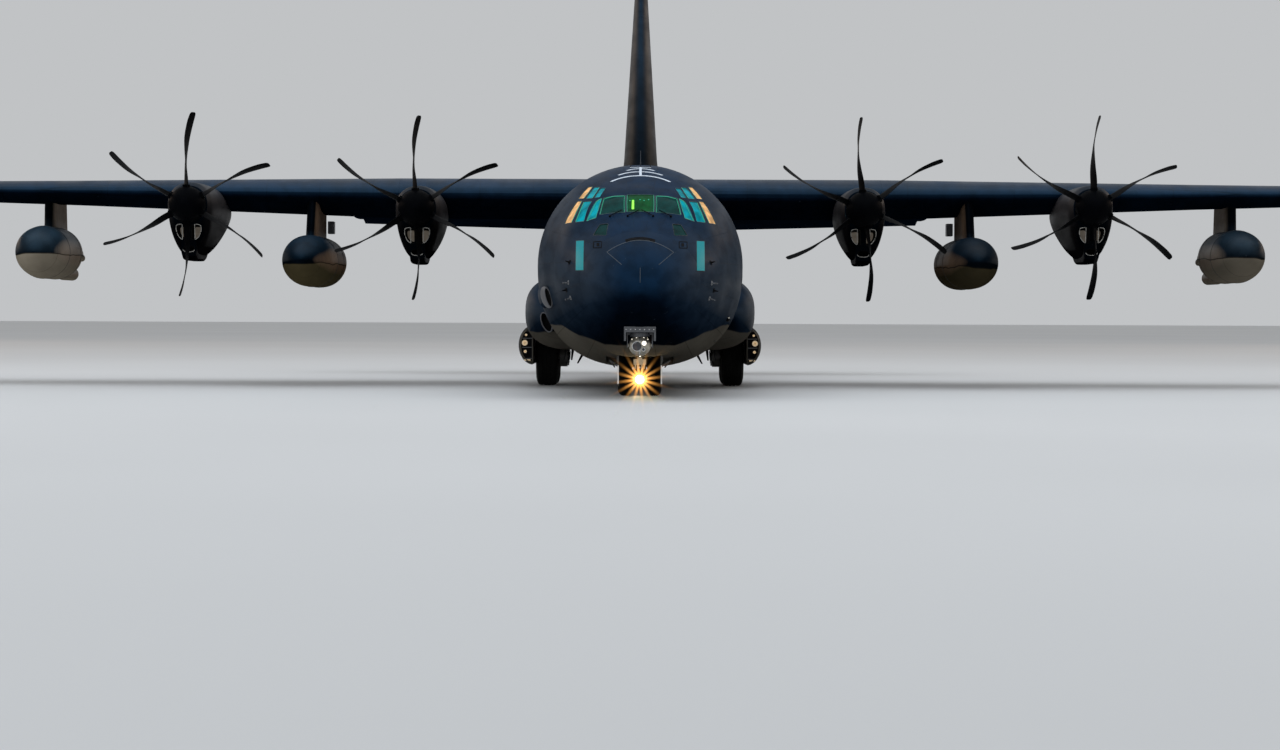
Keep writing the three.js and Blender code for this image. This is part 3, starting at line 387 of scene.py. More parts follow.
def make_camera():
    data = bpy.data.cameras.new("camera")
    data.sensor_width = SENSOR_WIDTH
    data.lens = SENSOR_WIDTH * PHOTO_FOCAL / PHOTO_WIDTH
    data.clip_end = CAMERA_REACH
    camera = bpy.data.objects.new("camera", data)
    camera.location = placed([(0, CAMERA_STATION, CAMERA_HEIGHT)])[0]
    tilt = math.atan((PHOTO_MIDDLE[1] - PHOTO_HORIZON) / PHOTO_FOCAL)
    camera.rotation_euler = (math.radians(90) - tilt, math.radians(CAMERA_ROLL), 0)
    bpy.context.scene.collection.objects.link(camera)
    bpy.context.scene.camera = camera


def area_light(name, location, target, lamp_size, power, colour):
    data = bpy.data.lights.new(name, "AREA")
    data.shape = "RECTANGLE"
    data.size, data.size_y = lamp_size
    data.energy = power
    data.color = colour
    light = bpy.data.objects.new(name, data)
    light.location = location
    light.rotation_euler = (Vector(target) - Vector(location)).to_track_quat("-Z", "Y").to_euler()
    bpy.context.scene.collection.objects.link(light)


def make_studio():
    world = bpy.data.worlds.new("studio")
    world.use_nodes = True
    sky = world.node_tree.nodes["Background"].inputs
    sky["Color"].default_value = (*SKY_COLOUR, 1)
    sky["Strength"].default_value = SKY_STRENGTH
    bpy.context.scene.world = world
    bpy.context.scene.view_settings.view_transform = "Standard"
    for lamp_row in STUDIO_LAMPS:
        area_light(*lamp_row)
    mesh = bpy.data.meshes.new("floor")
    x = y = FLOOR_REACH
    mesh.from_pydata([(-x, -y, 0), (x, -y, 0), (x, y, 0), (-x, y, 0)], [], [(0, 1, 2, 3)])
    mesh.materials.append(floor_material())
    floor = bpy.data.objects.new("floor", mesh)
    bpy.context.scene.collection.objects.link(floor)


def make_star():
    """Rays round the taxi lamp, as a lens draws them."""
    scene = bpy.context.scene
    scene.use_nodes = True
    tree = scene.node_tree
    tree.nodes.clear()
    layers = tree.nodes.new("CompositorNodeRLayers")
    glare = tree.nodes.new("CompositorNodeGlare")
    result = tree.nodes.new("CompositorNodeComposite")
    glare.glare_type = "STREAKS"
    glare.quality = "HIGH"
    for name, value in STAR.items():
        glare.inputs[name].default_value = value
    tree.links.new(layers.outputs["Image"], glare.inputs["Image"])
    tree.links.new(glare.outputs["Image"], result.inputs["Image"])


# Materials, each made of nodes on the piece's own coordinates

class Shader:
    """A material under construction, with short calls for its nodes."""

    def __init__(self, name):
        self.material = bpy.data.materials.new(name)
        self.material.use_nodes = True
        self.tree = self.material.node_tree
        self.surface = self.tree.nodes["Principled BSDF"]
        coordinates = self.node("ShaderNodeTexCoord")
        self.place = coordinates.outputs["Object"]
        self.x, self.y, self.z = self.node("ShaderNodeSeparateXYZ", Vector=self.place).outputs
        self.aside = self.math("ABSOLUTE", self.x)
        facing = self.node("ShaderNodeSeparateXYZ", Vector=coordinates.outputs["Normal"]).outputs
        self.sideways = self.math("ABSOLUTE", facing[0])
        self.upward = facing[2]
        outward = self.math("MULTIPLY", facing[0], self.math("SIGN", self.x))
        self.inward = self.math("MULTIPLY", outward, -1.0)

    def node(self, kind, **inputs):
        made = self.tree.nodes.new(kind)
        for name, value in inputs.items():
            self.set(made.inputs[name.replace("_", " ")], value)
        return made

    def set(self, socket, value):
        if isinstance(value, bpy.types.NodeSocket):
            self.tree.links.new(value, socket)
        elif isinstance(value, (tuple, list)) and len(value) == 3 and len(socket.default_value) == 4:
            socket.default_value = (*value, 1)
        else:
            socket.default_value = value

    def math(self, operation, *values):
        made = self.node("ShaderNodeMath")
        made.operation = operation
        for socket, value in zip(made.inputs, values):
            self.set(socket, value)
        return made.outputs[0]

    def ramp(self, value, low, high, to_low=0.0, to_high=1.0):
        made = self.node("ShaderNodeMapRange")
        for socket, entry in zip(made.inputs, (value, low, high, to_low, to_high)):
            self.set(socket, entry)
        return made.outputs[0]

    def mix(self, share, first, second):
        made = self.node("ShaderNodeMix")
        made.data_type = "RGBA"
        for index, entry in ((0, share), (6, first), (7, second)):
            self.set(made.inputs[index], entry)
        return made.outputs[2]

    def vector(self, operation, value, **inputs):
        made = self.node("ShaderNodeVectorMath", Vector=value)
        made.operation = operation
        for name, entry in inputs.items():
            self.set(made.inputs[name], entry)
        return made

    def noise(self, scale, detail, stretch=(1, 1, 1)):
        scaled = self.vector("MULTIPLY", self.place)
        scaled.inputs[1].default_value = stretch
        made = self.node("ShaderNodeTexNoise", Vector=scaled.outputs[0])
        made.inputs["Scale"].default_value = scale
        made.inputs["Detail"].default_value = detail
        return made.outputs["Fac"]

    def seams(self, value, pitch, width):
        """1 on lines that repeat along a coordinate at this pitch, and 0 between them."""
        away = self.math("PINGPONG", value, pitch / 2)
        return self.ramp(away, 0, width, 1, 0)

    def bump(self, height, distance):
        made = self.node("ShaderNodeBump", Height=height)
        made.inputs["Distance"].default_value = distance
        made.inputs["Strength"].default_value = BUMP_STRENGTH
        self.set(self.surface.inputs["Normal"], made.outputs[0])

    def finish(self, **inputs):
        for name, value in inputs.items():
            self.set(self.surface.inputs[name.replace("_", " ")], value)
        return self.material


# Paints: tones of the upper side, of faces that look sideways (a painted side light) and below the
# split
BELLY_GREY = (0.088, 0.079, 0.064)
HULL_TONES = ((0.0030, 0.0130, 0.0320), (0.0195, 0.0310, 0.0470), BELLY_GREY)
TANK_TONES = ((0.0035, 0.0115, 0.0215), (0.2000, 0.1250, 0.0780), (0.0680, 0.0540, 0.0270))
POD_TONES = ((0.0120, 0.0250, 0.0390), (0.2500, 0.1950, 0.1500), (0.2450, 0.2100, 0.1580))
TAIL_TONES = ((0.0050, 0.0120, 0.0220), (0.0370, 0.0320, 0.0300), BELLY_GREY)
NACELLE_TONES = ((0.0016, 0.0055, 0.0120), (0.0360, 0.0300, 0.0290), BELLY_GREY)
HULL_CHIP = (0.0400, 0.0500, 0.0640)
SHADE_TONE = (0.0004, 0.0005, 0.0007)
LEFT_SHADE_TONE = (0.0015, 0.0020, 0.0030)
SPLIT_LINE_TONE = (0.004, 0.004, 0.004)
# Blue tint of the paint's reflections: a painted sky reflection
SKY_SHEEN_TINT = (0.45, 0.75, 1.0)
# Panel seams: how dark they are, their widths, and the angle between those along the body
SEAM_DARK = 0.4
SEAM_WIDTH = 0.004
SEAM_TURN = math.pi / 9
SEAM_TURN_WIDTH = 0.0035
BUMP_STRENGTH = 0.6


def floor_material():
    shader = Shader("studio_floor")
    tone = shader.ramp(shader.noise(0.08, 2), 0.3, 0.7, 0.56, 0.60)
    colour = shader.node("ShaderNodeCombineColor", Red=tone, Green=tone, Blue=tone).outputs[0]
    return shader.finish(Base_Color=colour, Roughness=0.6)


def tinted(tone, share, rise=0.0):
    return tuple(share * c + rise for c in tone)


def shade_and_gleam(shader, gloss, height_shade, inward):
    """Painted shade, and how much the paint reflects, by the way a face looks and by its height."""
    if inward:
        shade = shader.ramp(shader.upward, -0.15, 0.75, 0.2, 1)
        gleam = shader.ramp(shader.upward, -0.1, 0.9, 0, gloss)
    else:
        shade = shader.math("MAXIMUM", shader.ramp(shader.upward, -0.65, 0.05, 0.16, 1),
                            shader.ramp(shader.sideways, 0.25, 0.75, 0, 0.8))
        gleam = shader.ramp(shader.upward, -0.5, 0.2, 0, gloss)
    if not height_shade:
        return shade, gleam
    light = shader.ramp(shader.z, *height_shade)
    return shader.math("MULTIPLY", shade, light), shader.math("MULTIPLY", gleam, light)


def panel_seams(shader, axes, pitch, around):
    """1 on the seams between panels, and 0 elsewhere."""
    lines = [shader.seams(getattr(shader, axis), pitch, SEAM_WIDTH) for axis in axes]
    if around is not None:
        turn = shader.math("ARCTAN2", shader.math("SUBTRACT", shader.z, around), shader.x)
        lines.append(shader.seams(turn, SEAM_TURN, SEAM_TURN_WIDTH))
    seam = lines[0]
    for line in lines[1:]:
        seam = shader.math("MAXIMUM", seam, line)
    return seam


def paint(name, split=None, wave=0.02, rise=0.0, seam_axes=("y",), pitch=0.5, around=None, seed=0.0,
          tones=HULL_TONES, gloss=0.08, height_shade=None, inward=False):
    """Satin paint in three tones: the upper one, a painted side light on faces that look
    sideways, and the grey below the height split (model metres). The wavy line between them
    climbs by rise towards the sides. Seams run across the named axes at this pitch, and along
    the body round the height around. Painted shade darkens faces that look down, and where two
    heights are given with the paint's brightness at each, it darkens the paint by height too.
    Its reflections take a painted blue sky tint. With inward, the second tone is a painted warm
    light only on faces that look at the middle of the aircraft, and painted shade dims the
    aircraft's left side."""
    top_tone, side_light_tone, low_tone = tones
    shader = Shader(name)
    broad = shader.noise(0.7 + seed, 5, (1, 0.5, 1))
    streak = shader.noise(3.0 + seed, 6, (1, 0.25, 1.6))
    worn = shader.ramp(shader.math("MULTIPLY_ADD", streak, 0.5, broad), 0.6, 1.0)
    colour = shader.mix(worn, top_tone, tinted(top_tone, 1.7, 0.001))
    if not inward:
        colour = shader.mix(shader.ramp(shader.sideways, 0.35, 0.98), colour, side_light_tone)
    blotch = shader.ramp(shader.noise(7 + seed, 9, (1, 0.5, 1)), 0.42, 0.62, 0.0, 0.45)
    colour = shader.mix(blotch, colour, tinted(top_tone, 0.45))
    shade, gleam = shade_and_gleam(shader, gloss, height_shade, inward)
    colour = shader.mix(shade, SHADE_TONE, colour)
    if split is not None:
        ripple = shader.math("MULTIPLY_ADD", shader.noise(1.3, 2), wave * 5, split - wave * 2.5)
        side = shader.ramp(shader.aside, 0.35, 0.85, 0, rise)
        below = shader.math("SUBTRACT", shader.math("ADD", ripple, side), shader.z)
        grey = shader.mix(worn, low_tone, tinted(low_tone, 0.6))
        colour = shader.mix(shader.ramp(below, -0.008, 0.008), colour, grey)
    # Stores: a painted warm light on faces that look at the middle of the aircraft, and painted shade
    # on the aircraft's left side
    if inward:
        mottle = shader.ramp(shader.noise(14, 6), 0.3, 0.7, 0.75, 1.0)
        share = shader.math("MULTIPLY", shader.ramp(shader.inward, 0.86, 0.995), mottle)
        colour = shader.mix(share, colour, side_light_tone)
        edge = shader.ramp(shader.math("ABSOLUTE", below), 0.003, 0.008, 0.8, 0)
        colour = shader.mix(edge, colour, SPLIT_LINE_TONE)
        colour = shader.mix(shader.ramp(shader.x, -1, 1, 1, 0.55), LEFT_SHADE_TONE, colour)
    chips = shader.ramp(shader.noise(26 + seed, 8), 0.70, 0.74)
    colour = shader.mix(shader.math("MULTIPLY", chips, 0.4), colour, HULL_CHIP)
    seam = panel_seams(shader, seam_axes, pitch, around)
    colour = shader.vector("SCALE", colour, Scale=shader.ramp(seam, 0, 1, 1, SEAM_DARK)).outputs[0]
    height = shader.math("SUBTRACT", shader.math("MULTIPLY", shader.noise(60, 2), 0.06), seam)
    shader.bump(height, 0.002)
    rough = shader.ramp(streak, 0.3, 0.7, 0.38, 0.54)
    return shader.finish(Base_Color=colour, Roughness=rough, Specular_IOR_Level=gleam,
                         Specular_Tint=SKY_SHEEN_TINT)


def simple(name, colour, roughness, metallic=0.0, grain=25.0, spread=0.25, depth=0.0006, **more):
    """A plain finish with a fine grain in its colour, its gloss and its surface."""
    shader = Shader(name)
    grainy = shader.noise(grain, 5)
    light = tuple(min(1, c) for c in tinted(colour, 1 + spread))
    tone = shader.mix(shader.ramp(grainy, 0.3, 0.7), tinted(colour, 1 - spread), light)
    rough = shader.ramp(grainy, 0.3, 0.7, roughness * 0.85, min(1, roughness * 1.15))
    shader.bump(grainy, depth)
    return shader.finish(Base_Color=tone, Roughness=rough, Metallic=metallic, **more)


def glass(name, colour, transmission, glow, middle=None):
    """Tinted glass with a painted glow, as if lit a little from within. A second colour shows
    near the middle line of the aircraft."""
    shader = Shader(name)
    cloud = shader.ramp(shader.noise(9, 4), 0.35, 0.65, 0.55, 1.15)
    tone = colour
    if middle:
        tone = shader.mix(shader.ramp(shader.aside, 0.09, 0.17), middle, colour)
    varied = shader.vector("SCALE", tone, Scale=cloud).outputs[0]
    return shader.finish(Base_Color=varied, Roughness=0.06, IOR=1.2,
                         Transmission_Weight=transmission, Specular_IOR_Level=0.02,
                         Emission_Color=varied, Emission_Strength=glow)


# An even glow: real lamps and screens, and also painted glints and highlights
def glowing_finish(name, colour, strength, gloss=0.5):
    shader = Shader(name)
    glow = shader.ramp(shader.noise(40, 2), 0.3, 0.7, 0.9 * strength, 1.1 * strength)
    return shader.finish(Base_Color=colour, Emission_Color=colour, Emission_Strength=glow,
                         Roughness=0.3, Specular_IOR_Level=gloss)


def headlight():
    """A lamp with a far brighter filament in its middle."""
    shader = Shader("taxi_lamp")
    _, y, z = placed([TAXI_LAMP])[0]
    middle = shader.node("ShaderNodeCombineXYZ", Y=float(y), Z=float(z)).outputs[0]
    away = shader.vector("DISTANCE", shader.place)
    shader.set(away.inputs[1], middle)
    glow = shader.ramp(away.outputs["Value"], *FILAMENT_REACH, FILAMENT_GLOW, LAMP_GLOW)
    return shader.finish(Base_Color=LAMP_COLOUR, Emission_Color=LAMP_COLOUR,
                         Emission_Strength=glow, Roughness=0.3)


def make_materials():
    return {
        # Paints darkened between two heights carry painted shade: low on the hull, radome, sponsons,
        # fin and nacelles, and high on the stores under the wing
        "hull": paint("hull_paint", 0.535, rise=0.19, pitch=0.5, around=1.35, gloss=0.03,
                      height_shade=(0.5, 1.0, 0.45, 1)),
        "wing": paint("wing_paint", seam_axes=("x", "y"), pitch=0.62, seed=0.3, gloss=0.24),
        "tail": paint("tail_paint", seam_axes=("z", "y"), pitch=0.55, seed=0.5, tones=TAIL_TONES,
                      height_shade=(2.45, 4.4, 0.05, 1)),
        "nacelle": paint("nacelle_paint", pitch=0.42, seed=0.7, tones=NACELLE_TONES, gloss=0.1,
                         height_shade=(1.8, 2.2, 0.15, 1)),
        "sponson": paint("sponson_paint", 0.665, wave=0.03, pitch=0.5, seed=0.2,
                         height_shade=(0.45, 1.0, 0.5, 1)),
        "tank": paint("tank_paint", 1.39, wave=0.03, pitch=0.55, seed=0.4, tones=TANK_TONES,
                      gloss=0.07, height_shade=(1.72, 1.80, 1, 0.15), inward=True),
        "pod": paint("pod_paint", 1.505, wave=0.02, pitch=0.4, seed=0.6, tones=POD_TONES,
                     gloss=0.16, height_shade=(1.84, 1.95, 1, 0.15), inward=True),
        "radome": paint("radome_paint", 0.535, rise=0.19, pitch=5.0, seed=0.1, gloss=0.05,
                        height_shade=(0.5, 1.0, 0.45, 1)),
        "belly": simple("belly_paint", BELLY_GREY, 0.45),
        "blade": simple("blade_black", (0.0018, 0.0020, 0.0025), 0.5, grain=12,
                        Specular_IOR_Level=0.02),
        "spinner": simple("spinner_black", (0.0012, 0.0014, 0.0020), 0.5, grain=9,
                          Specular_IOR_Level=0.006),
        # Light rims of the intakes: a painted highlight
        "rim_highlight": simple("painted_rim_highlight", (0.42, 0.40, 0.36), 0.35, metallic=0.3, grain=30),
        # Near black: painted shade in ducts, scoop mouths and between the cooler's slats
        "shade_black": simple("duct_painted_shade", (0.004, 0.004, 0.004), 0.8, Specular_IOR_Level=0.1),
        # Cream with a painted glow: light deep in the intakes, and on the drogue
        "inside": simple("cream_painted_glow", (0.34, 0.29, 0.23), 0.5, grain=9, spread=0.6,
                         Emission_Color=(0.50, 0.42, 0.33), Emission_Strength=0.10),
        "seal": simple("window_seal", (0.010, 0.012, 0.013), 0.6),
        "frame": simple("window_frame", (0.05, 0.09, 0.09), 0.5, grain=30, Specular_IOR_Level=0.2),
        "trim": simple("trim_grey", (0.085, 0.085, 0.09), 0.55, grain=30),
        "glass_side": glass("glass_teal", (0.0015, 0.19, 0.23), 0.1, 0.7),
        "glass_front": glass("glass_green", (0.0012, 0.032, 0.030), 0.35, 0.6,
                             (0.0015, 0.055, 0.014)),
        # Amber of the rear side panes: a painted warm reflection
        "glass_warm_reflection": glass("glass_amber_reflection", (0.55, 0.31, 0.13), 0.05, 0.75),
        "glass_dark": glass("glass_dark", (0.001, 0.024, 0.024), 0.2, 0.4),
        # Painted highlights along the panes' edges; the head-up display's marks share this glow
        "highlight_glow": glowing_finish("green_highlight_glow", (0.03, 0.22, 0.14), 0.8, 0.05),
        "display": glowing_finish("display_lime", (0.22, 0.85, 0.06), 1.1, 0.1),
        "cabin": simple("cabin_grey", (0.16, 0.19, 0.17), 0.6, grain=8),
        "seat": simple("seat_fabric", (0.05, 0.06, 0.05), 0.9, grain=90, depth=0.003),
        "screen": glowing_finish("display_green", (0.10, 0.85, 0.06), 1.2),
        "gear": simple("gear_grey", (0.30, 0.28, 0.25), 0.38, grain=18),
        # Beige with a glow: painted lamplight on the nose links and the gear door's lamp holders
        "lamp_lit_gear": simple("gear_painted_lamplight", (0.72, 0.60, 0.42), 0.4, grain=18,
                             Emission_Color=(0.72, 0.52, 0.30), Emission_Strength=0.3),
        "leg": simple("leg_dark", (0.075, 0.071, 0.065), 0.45, grain=18),
        "steel": simple("polished_steel", (0.62, 0.62, 0.62), 0.18, metallic=1.0, grain=50),
        "tyre": tyre_material(),
        "rim": simple("rim_metal", (0.20, 0.20, 0.20), 0.4, metallic=0.6, grain=20),
        # Warm bronze: partly the ball's metal and partly a painted warm reflection
        "turret": simple("turret_metal", (0.36, 0.33, 0.27), 0.3, metallic=0.75, grain=16),
        "bracket": simple("bracket_grey", (0.085, 0.088, 0.095), 0.42, grain=16),
        "lens": simple("lens_black", (0.002, 0.003, 0.010), 0.04, grain=6, depth=0.0,
                       Coat_Weight=1.0, Coat_Roughness=0.02),
        # Painted glints on the sensor ball
        "glint_glow": glowing_finish("lens_painted_glint", (1.0, 0.92, 0.78), 1.8),
        "strip": glowing_finish("formation_strip", (0.0015, 0.135, 0.155), 0.75, 0.05),
        "lit_edge": simple("lit_edge", (0.6, 0.6, 0.6), 0.4, Emission_Color=(1.0, 0.92, 0.82),
                           Emission_Strength=0.25),
        "white": simple("white_marking", (0.62, 0.68, 0.76), 0.5, grain=40),
        "dark": simple("slot_black", (0.002, 0.002, 0.003), 0.8, Specular_IOR_Level=0.1),
        "line": simple("sealant_line", (0.040, 0.052, 0.066), 0.6, grain=60),
        "headlight": headlight(),
        "lamp_off": simple("lamp_clear", (0.80, 0.74, 0.62), 0.10, grain=10, Coat_Weight=1.0),
        "red": glowing_finish("beacon_red", (0.55, 0.02, 0.015), 0.6),
        "green": glowing_finish("tip_green", (0.02, 0.45, 0.12), 0.6),
        "exhaust": simple("exhaust_heat", (0.10, 0.075, 0.06), 0.5, metallic=0.8, grain=10),
    }


def tyre_material():
    shader = Shader("tyre_black")
    grit = shader.noise(45, 6)
    dust = shader.ramp(shader.noise(4, 4), 0.4, 0.75)
    tone = shader.mix(dust, (0.0015, 0.0015, 0.0015), (0.006, 0.006, 0.0055))
    shader.bump(grit, 0.001)
    return shader.finish(Base_Color=tone, Roughness=shader.ramp(grit, 0.3, 0.7, 0.7, 0.9),
                         Specular_IOR_Level=0.1)


# Solids

def linked(mesh):
    """A new object with this mesh, in the scene."""
    part = bpy.data.objects.new("part", mesh)
    bpy.context.scene.collection.objects.link(part)
    return part


def solid(points, faces):
    """A closed mesh object from real millimetres, with its faces pointing out."""
    mesh = bpy.data.meshes.new("part")
    mesh.from_pydata(placed(points).tolist(), [], faces)
    built = bmesh.new()
    built.from_mesh(mesh)
    bmesh.ops.recalc_face_normals(built, faces=built.faces)
    built.to_mesh(mesh)
    built.free()
    return linked(mesh)


def loft(rings, closed=False):
    """Skin over rings of equal length. It has flat ends, or closes on its first ring."""
    rings = np.asarray(rings, float)
    rows, count = rings.shape[:2]
    faces = []
    for row in range(rows if closed else rows - 1):
        here, after = row * count, (row + 1) % rows * count
        faces += [(here + i, here + (i + 1) % count, after + (i + 1) % count, after + i)
                  for i in range(count)]
    if not closed:
        faces.append(tuple(range(count))[::-1])
        faces.append(tuple(range((rows - 1) * count, rows * count)))
    return solid(rings.reshape(-1, 3), faces)


PLANES = {
    "x": lambda a, b, depth: (depth, a, b),
    "station": lambda a, b, depth: (a, depth, b),
    "z": lambda a, b, depth: (a, b, depth),
}


def prism(direction, outline, first, last):
    """A flat outline carried along x, along the stations or upwards."""
    place = PLANES[direction]
    return loft([[place(a, b, depth) for a, b in outline] for depth in (first, last)])


def rectangle(first, last):
    """Corners of a rectangle between two opposite ones."""
    (a0, b0), (a1, b1) = first, last
    return [(a0, b0), (a1, b0), (a1, b1), (a0, b1)]


def block(across, along, up):
    (x0, x1), (s0, s1), (z0, z1) = across, along, up
    return prism("z", rectangle((x0, s0), (x1, s1)), z0, z1)


def rounded(corners, radius, steps=5):
    """An outline with its corners rounded off."""
    outline = []
    count = len(corners)
    for i, corner in enumerate(corners):
        here = np.array(corner, float)
        before = np.array(corners[i - 1], float) - here
        after = np.array(corners[(i + 1) % count], float) - here
        reach = min(radius, np.linalg.norm(before) / 2.2, np.linalg.norm(after) / 2.2)
        start = here + before / np.linalg.norm(before) * reach
        end = here + after / np.linalg.norm(after) * reach
        for step in range(steps + 1):
            share = step / steps
            outline.append((1 - share) ** 2 * start + 2 * share * (1 - share) * here
                           + share ** 2 * end)
    return [tuple(point) for point in outline]


def turns(count):
    """Angles of points spaced evenly round a circle."""
    return 2 * np.pi * np.arange(count) / count


def section(x, station, z):
    """Points from their coordinates, of which some may be one number for all."""
    return np.stack(np.broadcast_arrays(x, station, z), axis=1)


def tube_rings(path, radii, sides):
    """Rings round a path of points, one radius for each."""
    path = np.array(path, float)
    rings = []
    for i, centre in enumerate(path):
        along = path[min(i + 1, len(path) - 1)] - path[max(i - 1, 0)]
        along /= np.linalg.norm(along)
        side = np.array((1.0, 0, 0)) if abs(along[2]) > 0.9 else np.array((0, 0, 1.0))
        across = np.cross(along, side)
        across /= np.linalg.norm(across)
        up = np.cross(across, along)
        round_it = np.outer(np.cos(turns(sides)), across) + np.outer(np.sin(turns(sides)), up)
        rings.append(centre + radii[i] * round_it)
    return rings


def rod(start, end, radius, end_radius=None, sides=24):
    return loft(tube_rings([start, end], [radius, end_radius or radius], sides))


def pipe(path, radius, sides=12):
    return loft(tube_rings(path, [radius] * len(path), sides))


def post(x, station, low, high, radius, sides=40):
    """An upright rod."""
    return rod((x, station, low), (x, station, high), radius, sides=sides)


def crossbar(first, last, station, z, radius, sides=24):
    """A rod along x."""
    return rod((first, station, z), (last, station, z), radius, sides=sides)


def peg(x, z, first, last, radius, sides=40):
    """A rod along the stations."""
    return rod((x, first, z), (x, last, z), radius, sides=sides)


def hoop(points, radius, sides=10):
    """A closed tube through points that lie round a line along the stations."""
    points = np.array(points, float)
    along = np.roll(points, -1, axis=0) - np.roll(points, 1, axis=0)
    along /= np.linalg.norm(along, axis=1, keepdims=True)
    across = np.cross(along, (0.0, 1.0, 0.0))
    across /= np.linalg.norm(across, axis=1, keepdims=True)
    up = np.cross(across, along)
    rings = [points + radius * (math.cos(t) * across + math.sin(t) * up) for t in turns(sides)]
    return loft(np.stack(rings, axis=1), closed=True)


def rounded_box(across, along, up, radius):
    """A box along the stations with rounded edges."""
    (x0, x1), (z0, z1) = across, up
    flat = np.array(rounded(rectangle((x0, z0), (x1, z1)), radius, 4))
    middle = np.array([((x0 + x1) / 2, (z0 + z1) / 2)])
    small = middle + (flat - middle) * (1 - 2 * radius / max(x1 - x0, z1 - z0))
    first, last = along
    rings = [(first, small), (first + radius, flat), (last - radius, flat), (last, small)]
    return loft([section(ring[:, 0], station, ring[:, 1]) for station, ring in rings])


def ellipsoid(centre, radii, sides=40):
    """A solid egg shape, from its centre and its three half lengths."""
    rings = []
    for tilt in np.linspace(-90, 90, sides // 2 + 1):
        share = max(math.cos(math.radians(tilt)), 0.004)
        rings.append(section(centre[0] + radii[0] * share * np.cos(turns(sides)),
                             centre[1] + radii[1] * share * np.sin(turns(sides)),
                             centre[2] + radii[2] * math.sin(math.radians(tilt))))
    return loft(rings)


def turned(profile, x, z, sides=64):
    """A solid turned about a line along the stations, from a profile of (station, radius)."""
    return loft([section(x + max(radius, 0.5) * np.cos(turns(sides)), station,
                         z + max(radius, 0.5) * np.sin(turns(sides)))
                 for station, radius in profile])


def wheel_ring(profile, x, station, z, sides=72):
    """A ring turned about an axle along x, from a closed profile of (side, radius)."""
    return loft([section(x + side, station + radius * np.cos(turns(sides)),
                         z + radius * np.sin(turns(sides)))
                 for side, radius in profile], closed=True)


def remove(part):
    mesh = part.data
    bpy.data.objects.remove(part)
    bpy.data.meshes.remove(mesh)


def apply_modifiers(part):
    graph = bpy.context.evaluated_depsgraph_get()
    mesh = bpy.data.meshes.new_from_object(part.evaluated_get(graph))
    part.modifiers.clear()
    part.data = mesh


def combined(operation, part, others):
    """A part after a Boolean with others, which are used up."""
    for other in others:
        modifier = part.modifiers.new("combine", "BOOLEAN")
        modifier.operation = operation
        modifier.solver = "MANIFOLD"
        modifier.object = other
    apply_modifiers(part)
    for other in others:
        remove(other)
    return part


def cut(part, *others):
    return combined("DIFFERENCE", part, others)


def common(part, *others):
    return combined("INTERSECT", part, others)


def join(part, *others):
    return combined("UNION", part, others)


def gathered(parts):
    """Several parts as one mesh, left as they are."""
    mesh = bpy.data.meshes.new("part")
    built = bmesh.new()
    for part in parts:
        built.from_mesh(part.data)
    built.to_mesh(mesh)
    built.free()
    for part in parts:
        remove(part)
    return linked(mesh)


def mirrored(part):
    """A copy on the other side of the aircraft."""
    mesh = part.data.copy()
    mesh.transform(Matrix.Scale(-1, 4, (1, 0, 0)))
    mesh.flip_normals()
    return linked(mesh)


def flipped(part):
    """The part itself carried over to the other side."""
    other = mirrored(part)
    remove(part)
    return other


def face_inwards(part):
    """For each face of a shell round the body's middle line, whether it is on the inside."""
    faces = part.data.polygons
    centres, normals = np.empty(len(faces) * 3), np.empty(len(faces) * 3)
    faces.foreach_get("center", centres)
    faces.foreach_get("normal", normals)
    centres, normals = centres.reshape(-1, 3), normals.reshape(-1, 3)
    table = np.array(BODY, float)
    middle = np.interp(centres[:, 1] / UNIT + LENGTH / 2, table[:, 0], table[:, 4]) * UNIT
    away = centres[:, [0, 2]] - np.stack([0 * middle, middle], axis=1)
    return (away * normals[:, [0, 2]]).sum(1) < -0.35 * np.linalg.norm(away, axis=1)


def piece(name, part, look, body="airframe", replaces=(), sharp=32, lining=None):
    """Names a part, gives it its finish and lets it ride on its body. A lining is the finish of
    its inner faces."""
    part.name = name
    part.data.name = name
    part.data.materials.clear()
    part.data.materials.append(MATERIALS[look])
    part.data.shade_smooth()
    part.data.set_sharp_from_angle(angle=math.radians(sharp))
    weighted = part.modifiers.new("normals", "WEIGHTED_NORMAL")
    weighted.keep_sharp = True
    apply_modifiers(part)
    if lining:
        part.data.materials.append(MATERIALS[lining])
        part.data.polygons.foreach_set("material_index", face_inwards(part).astype(int))
    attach(part, body)
    if replaces:
        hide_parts(*replaces)
    return part


def pair(name, part, look, body="airframe", replaces=False, **more):
    """A part of the left side and its mirror image on the right."""
    other = mirrored(part)
    for side, made in (("left", part), ("right", other)):
        rides_on = body.format(side=side)
        stands_for = [replaces.format(side=side)] if replaces else ()
        piece(f"{name}_{side}", made, look, rides_on, stands_for, **more)


# Smooth sections

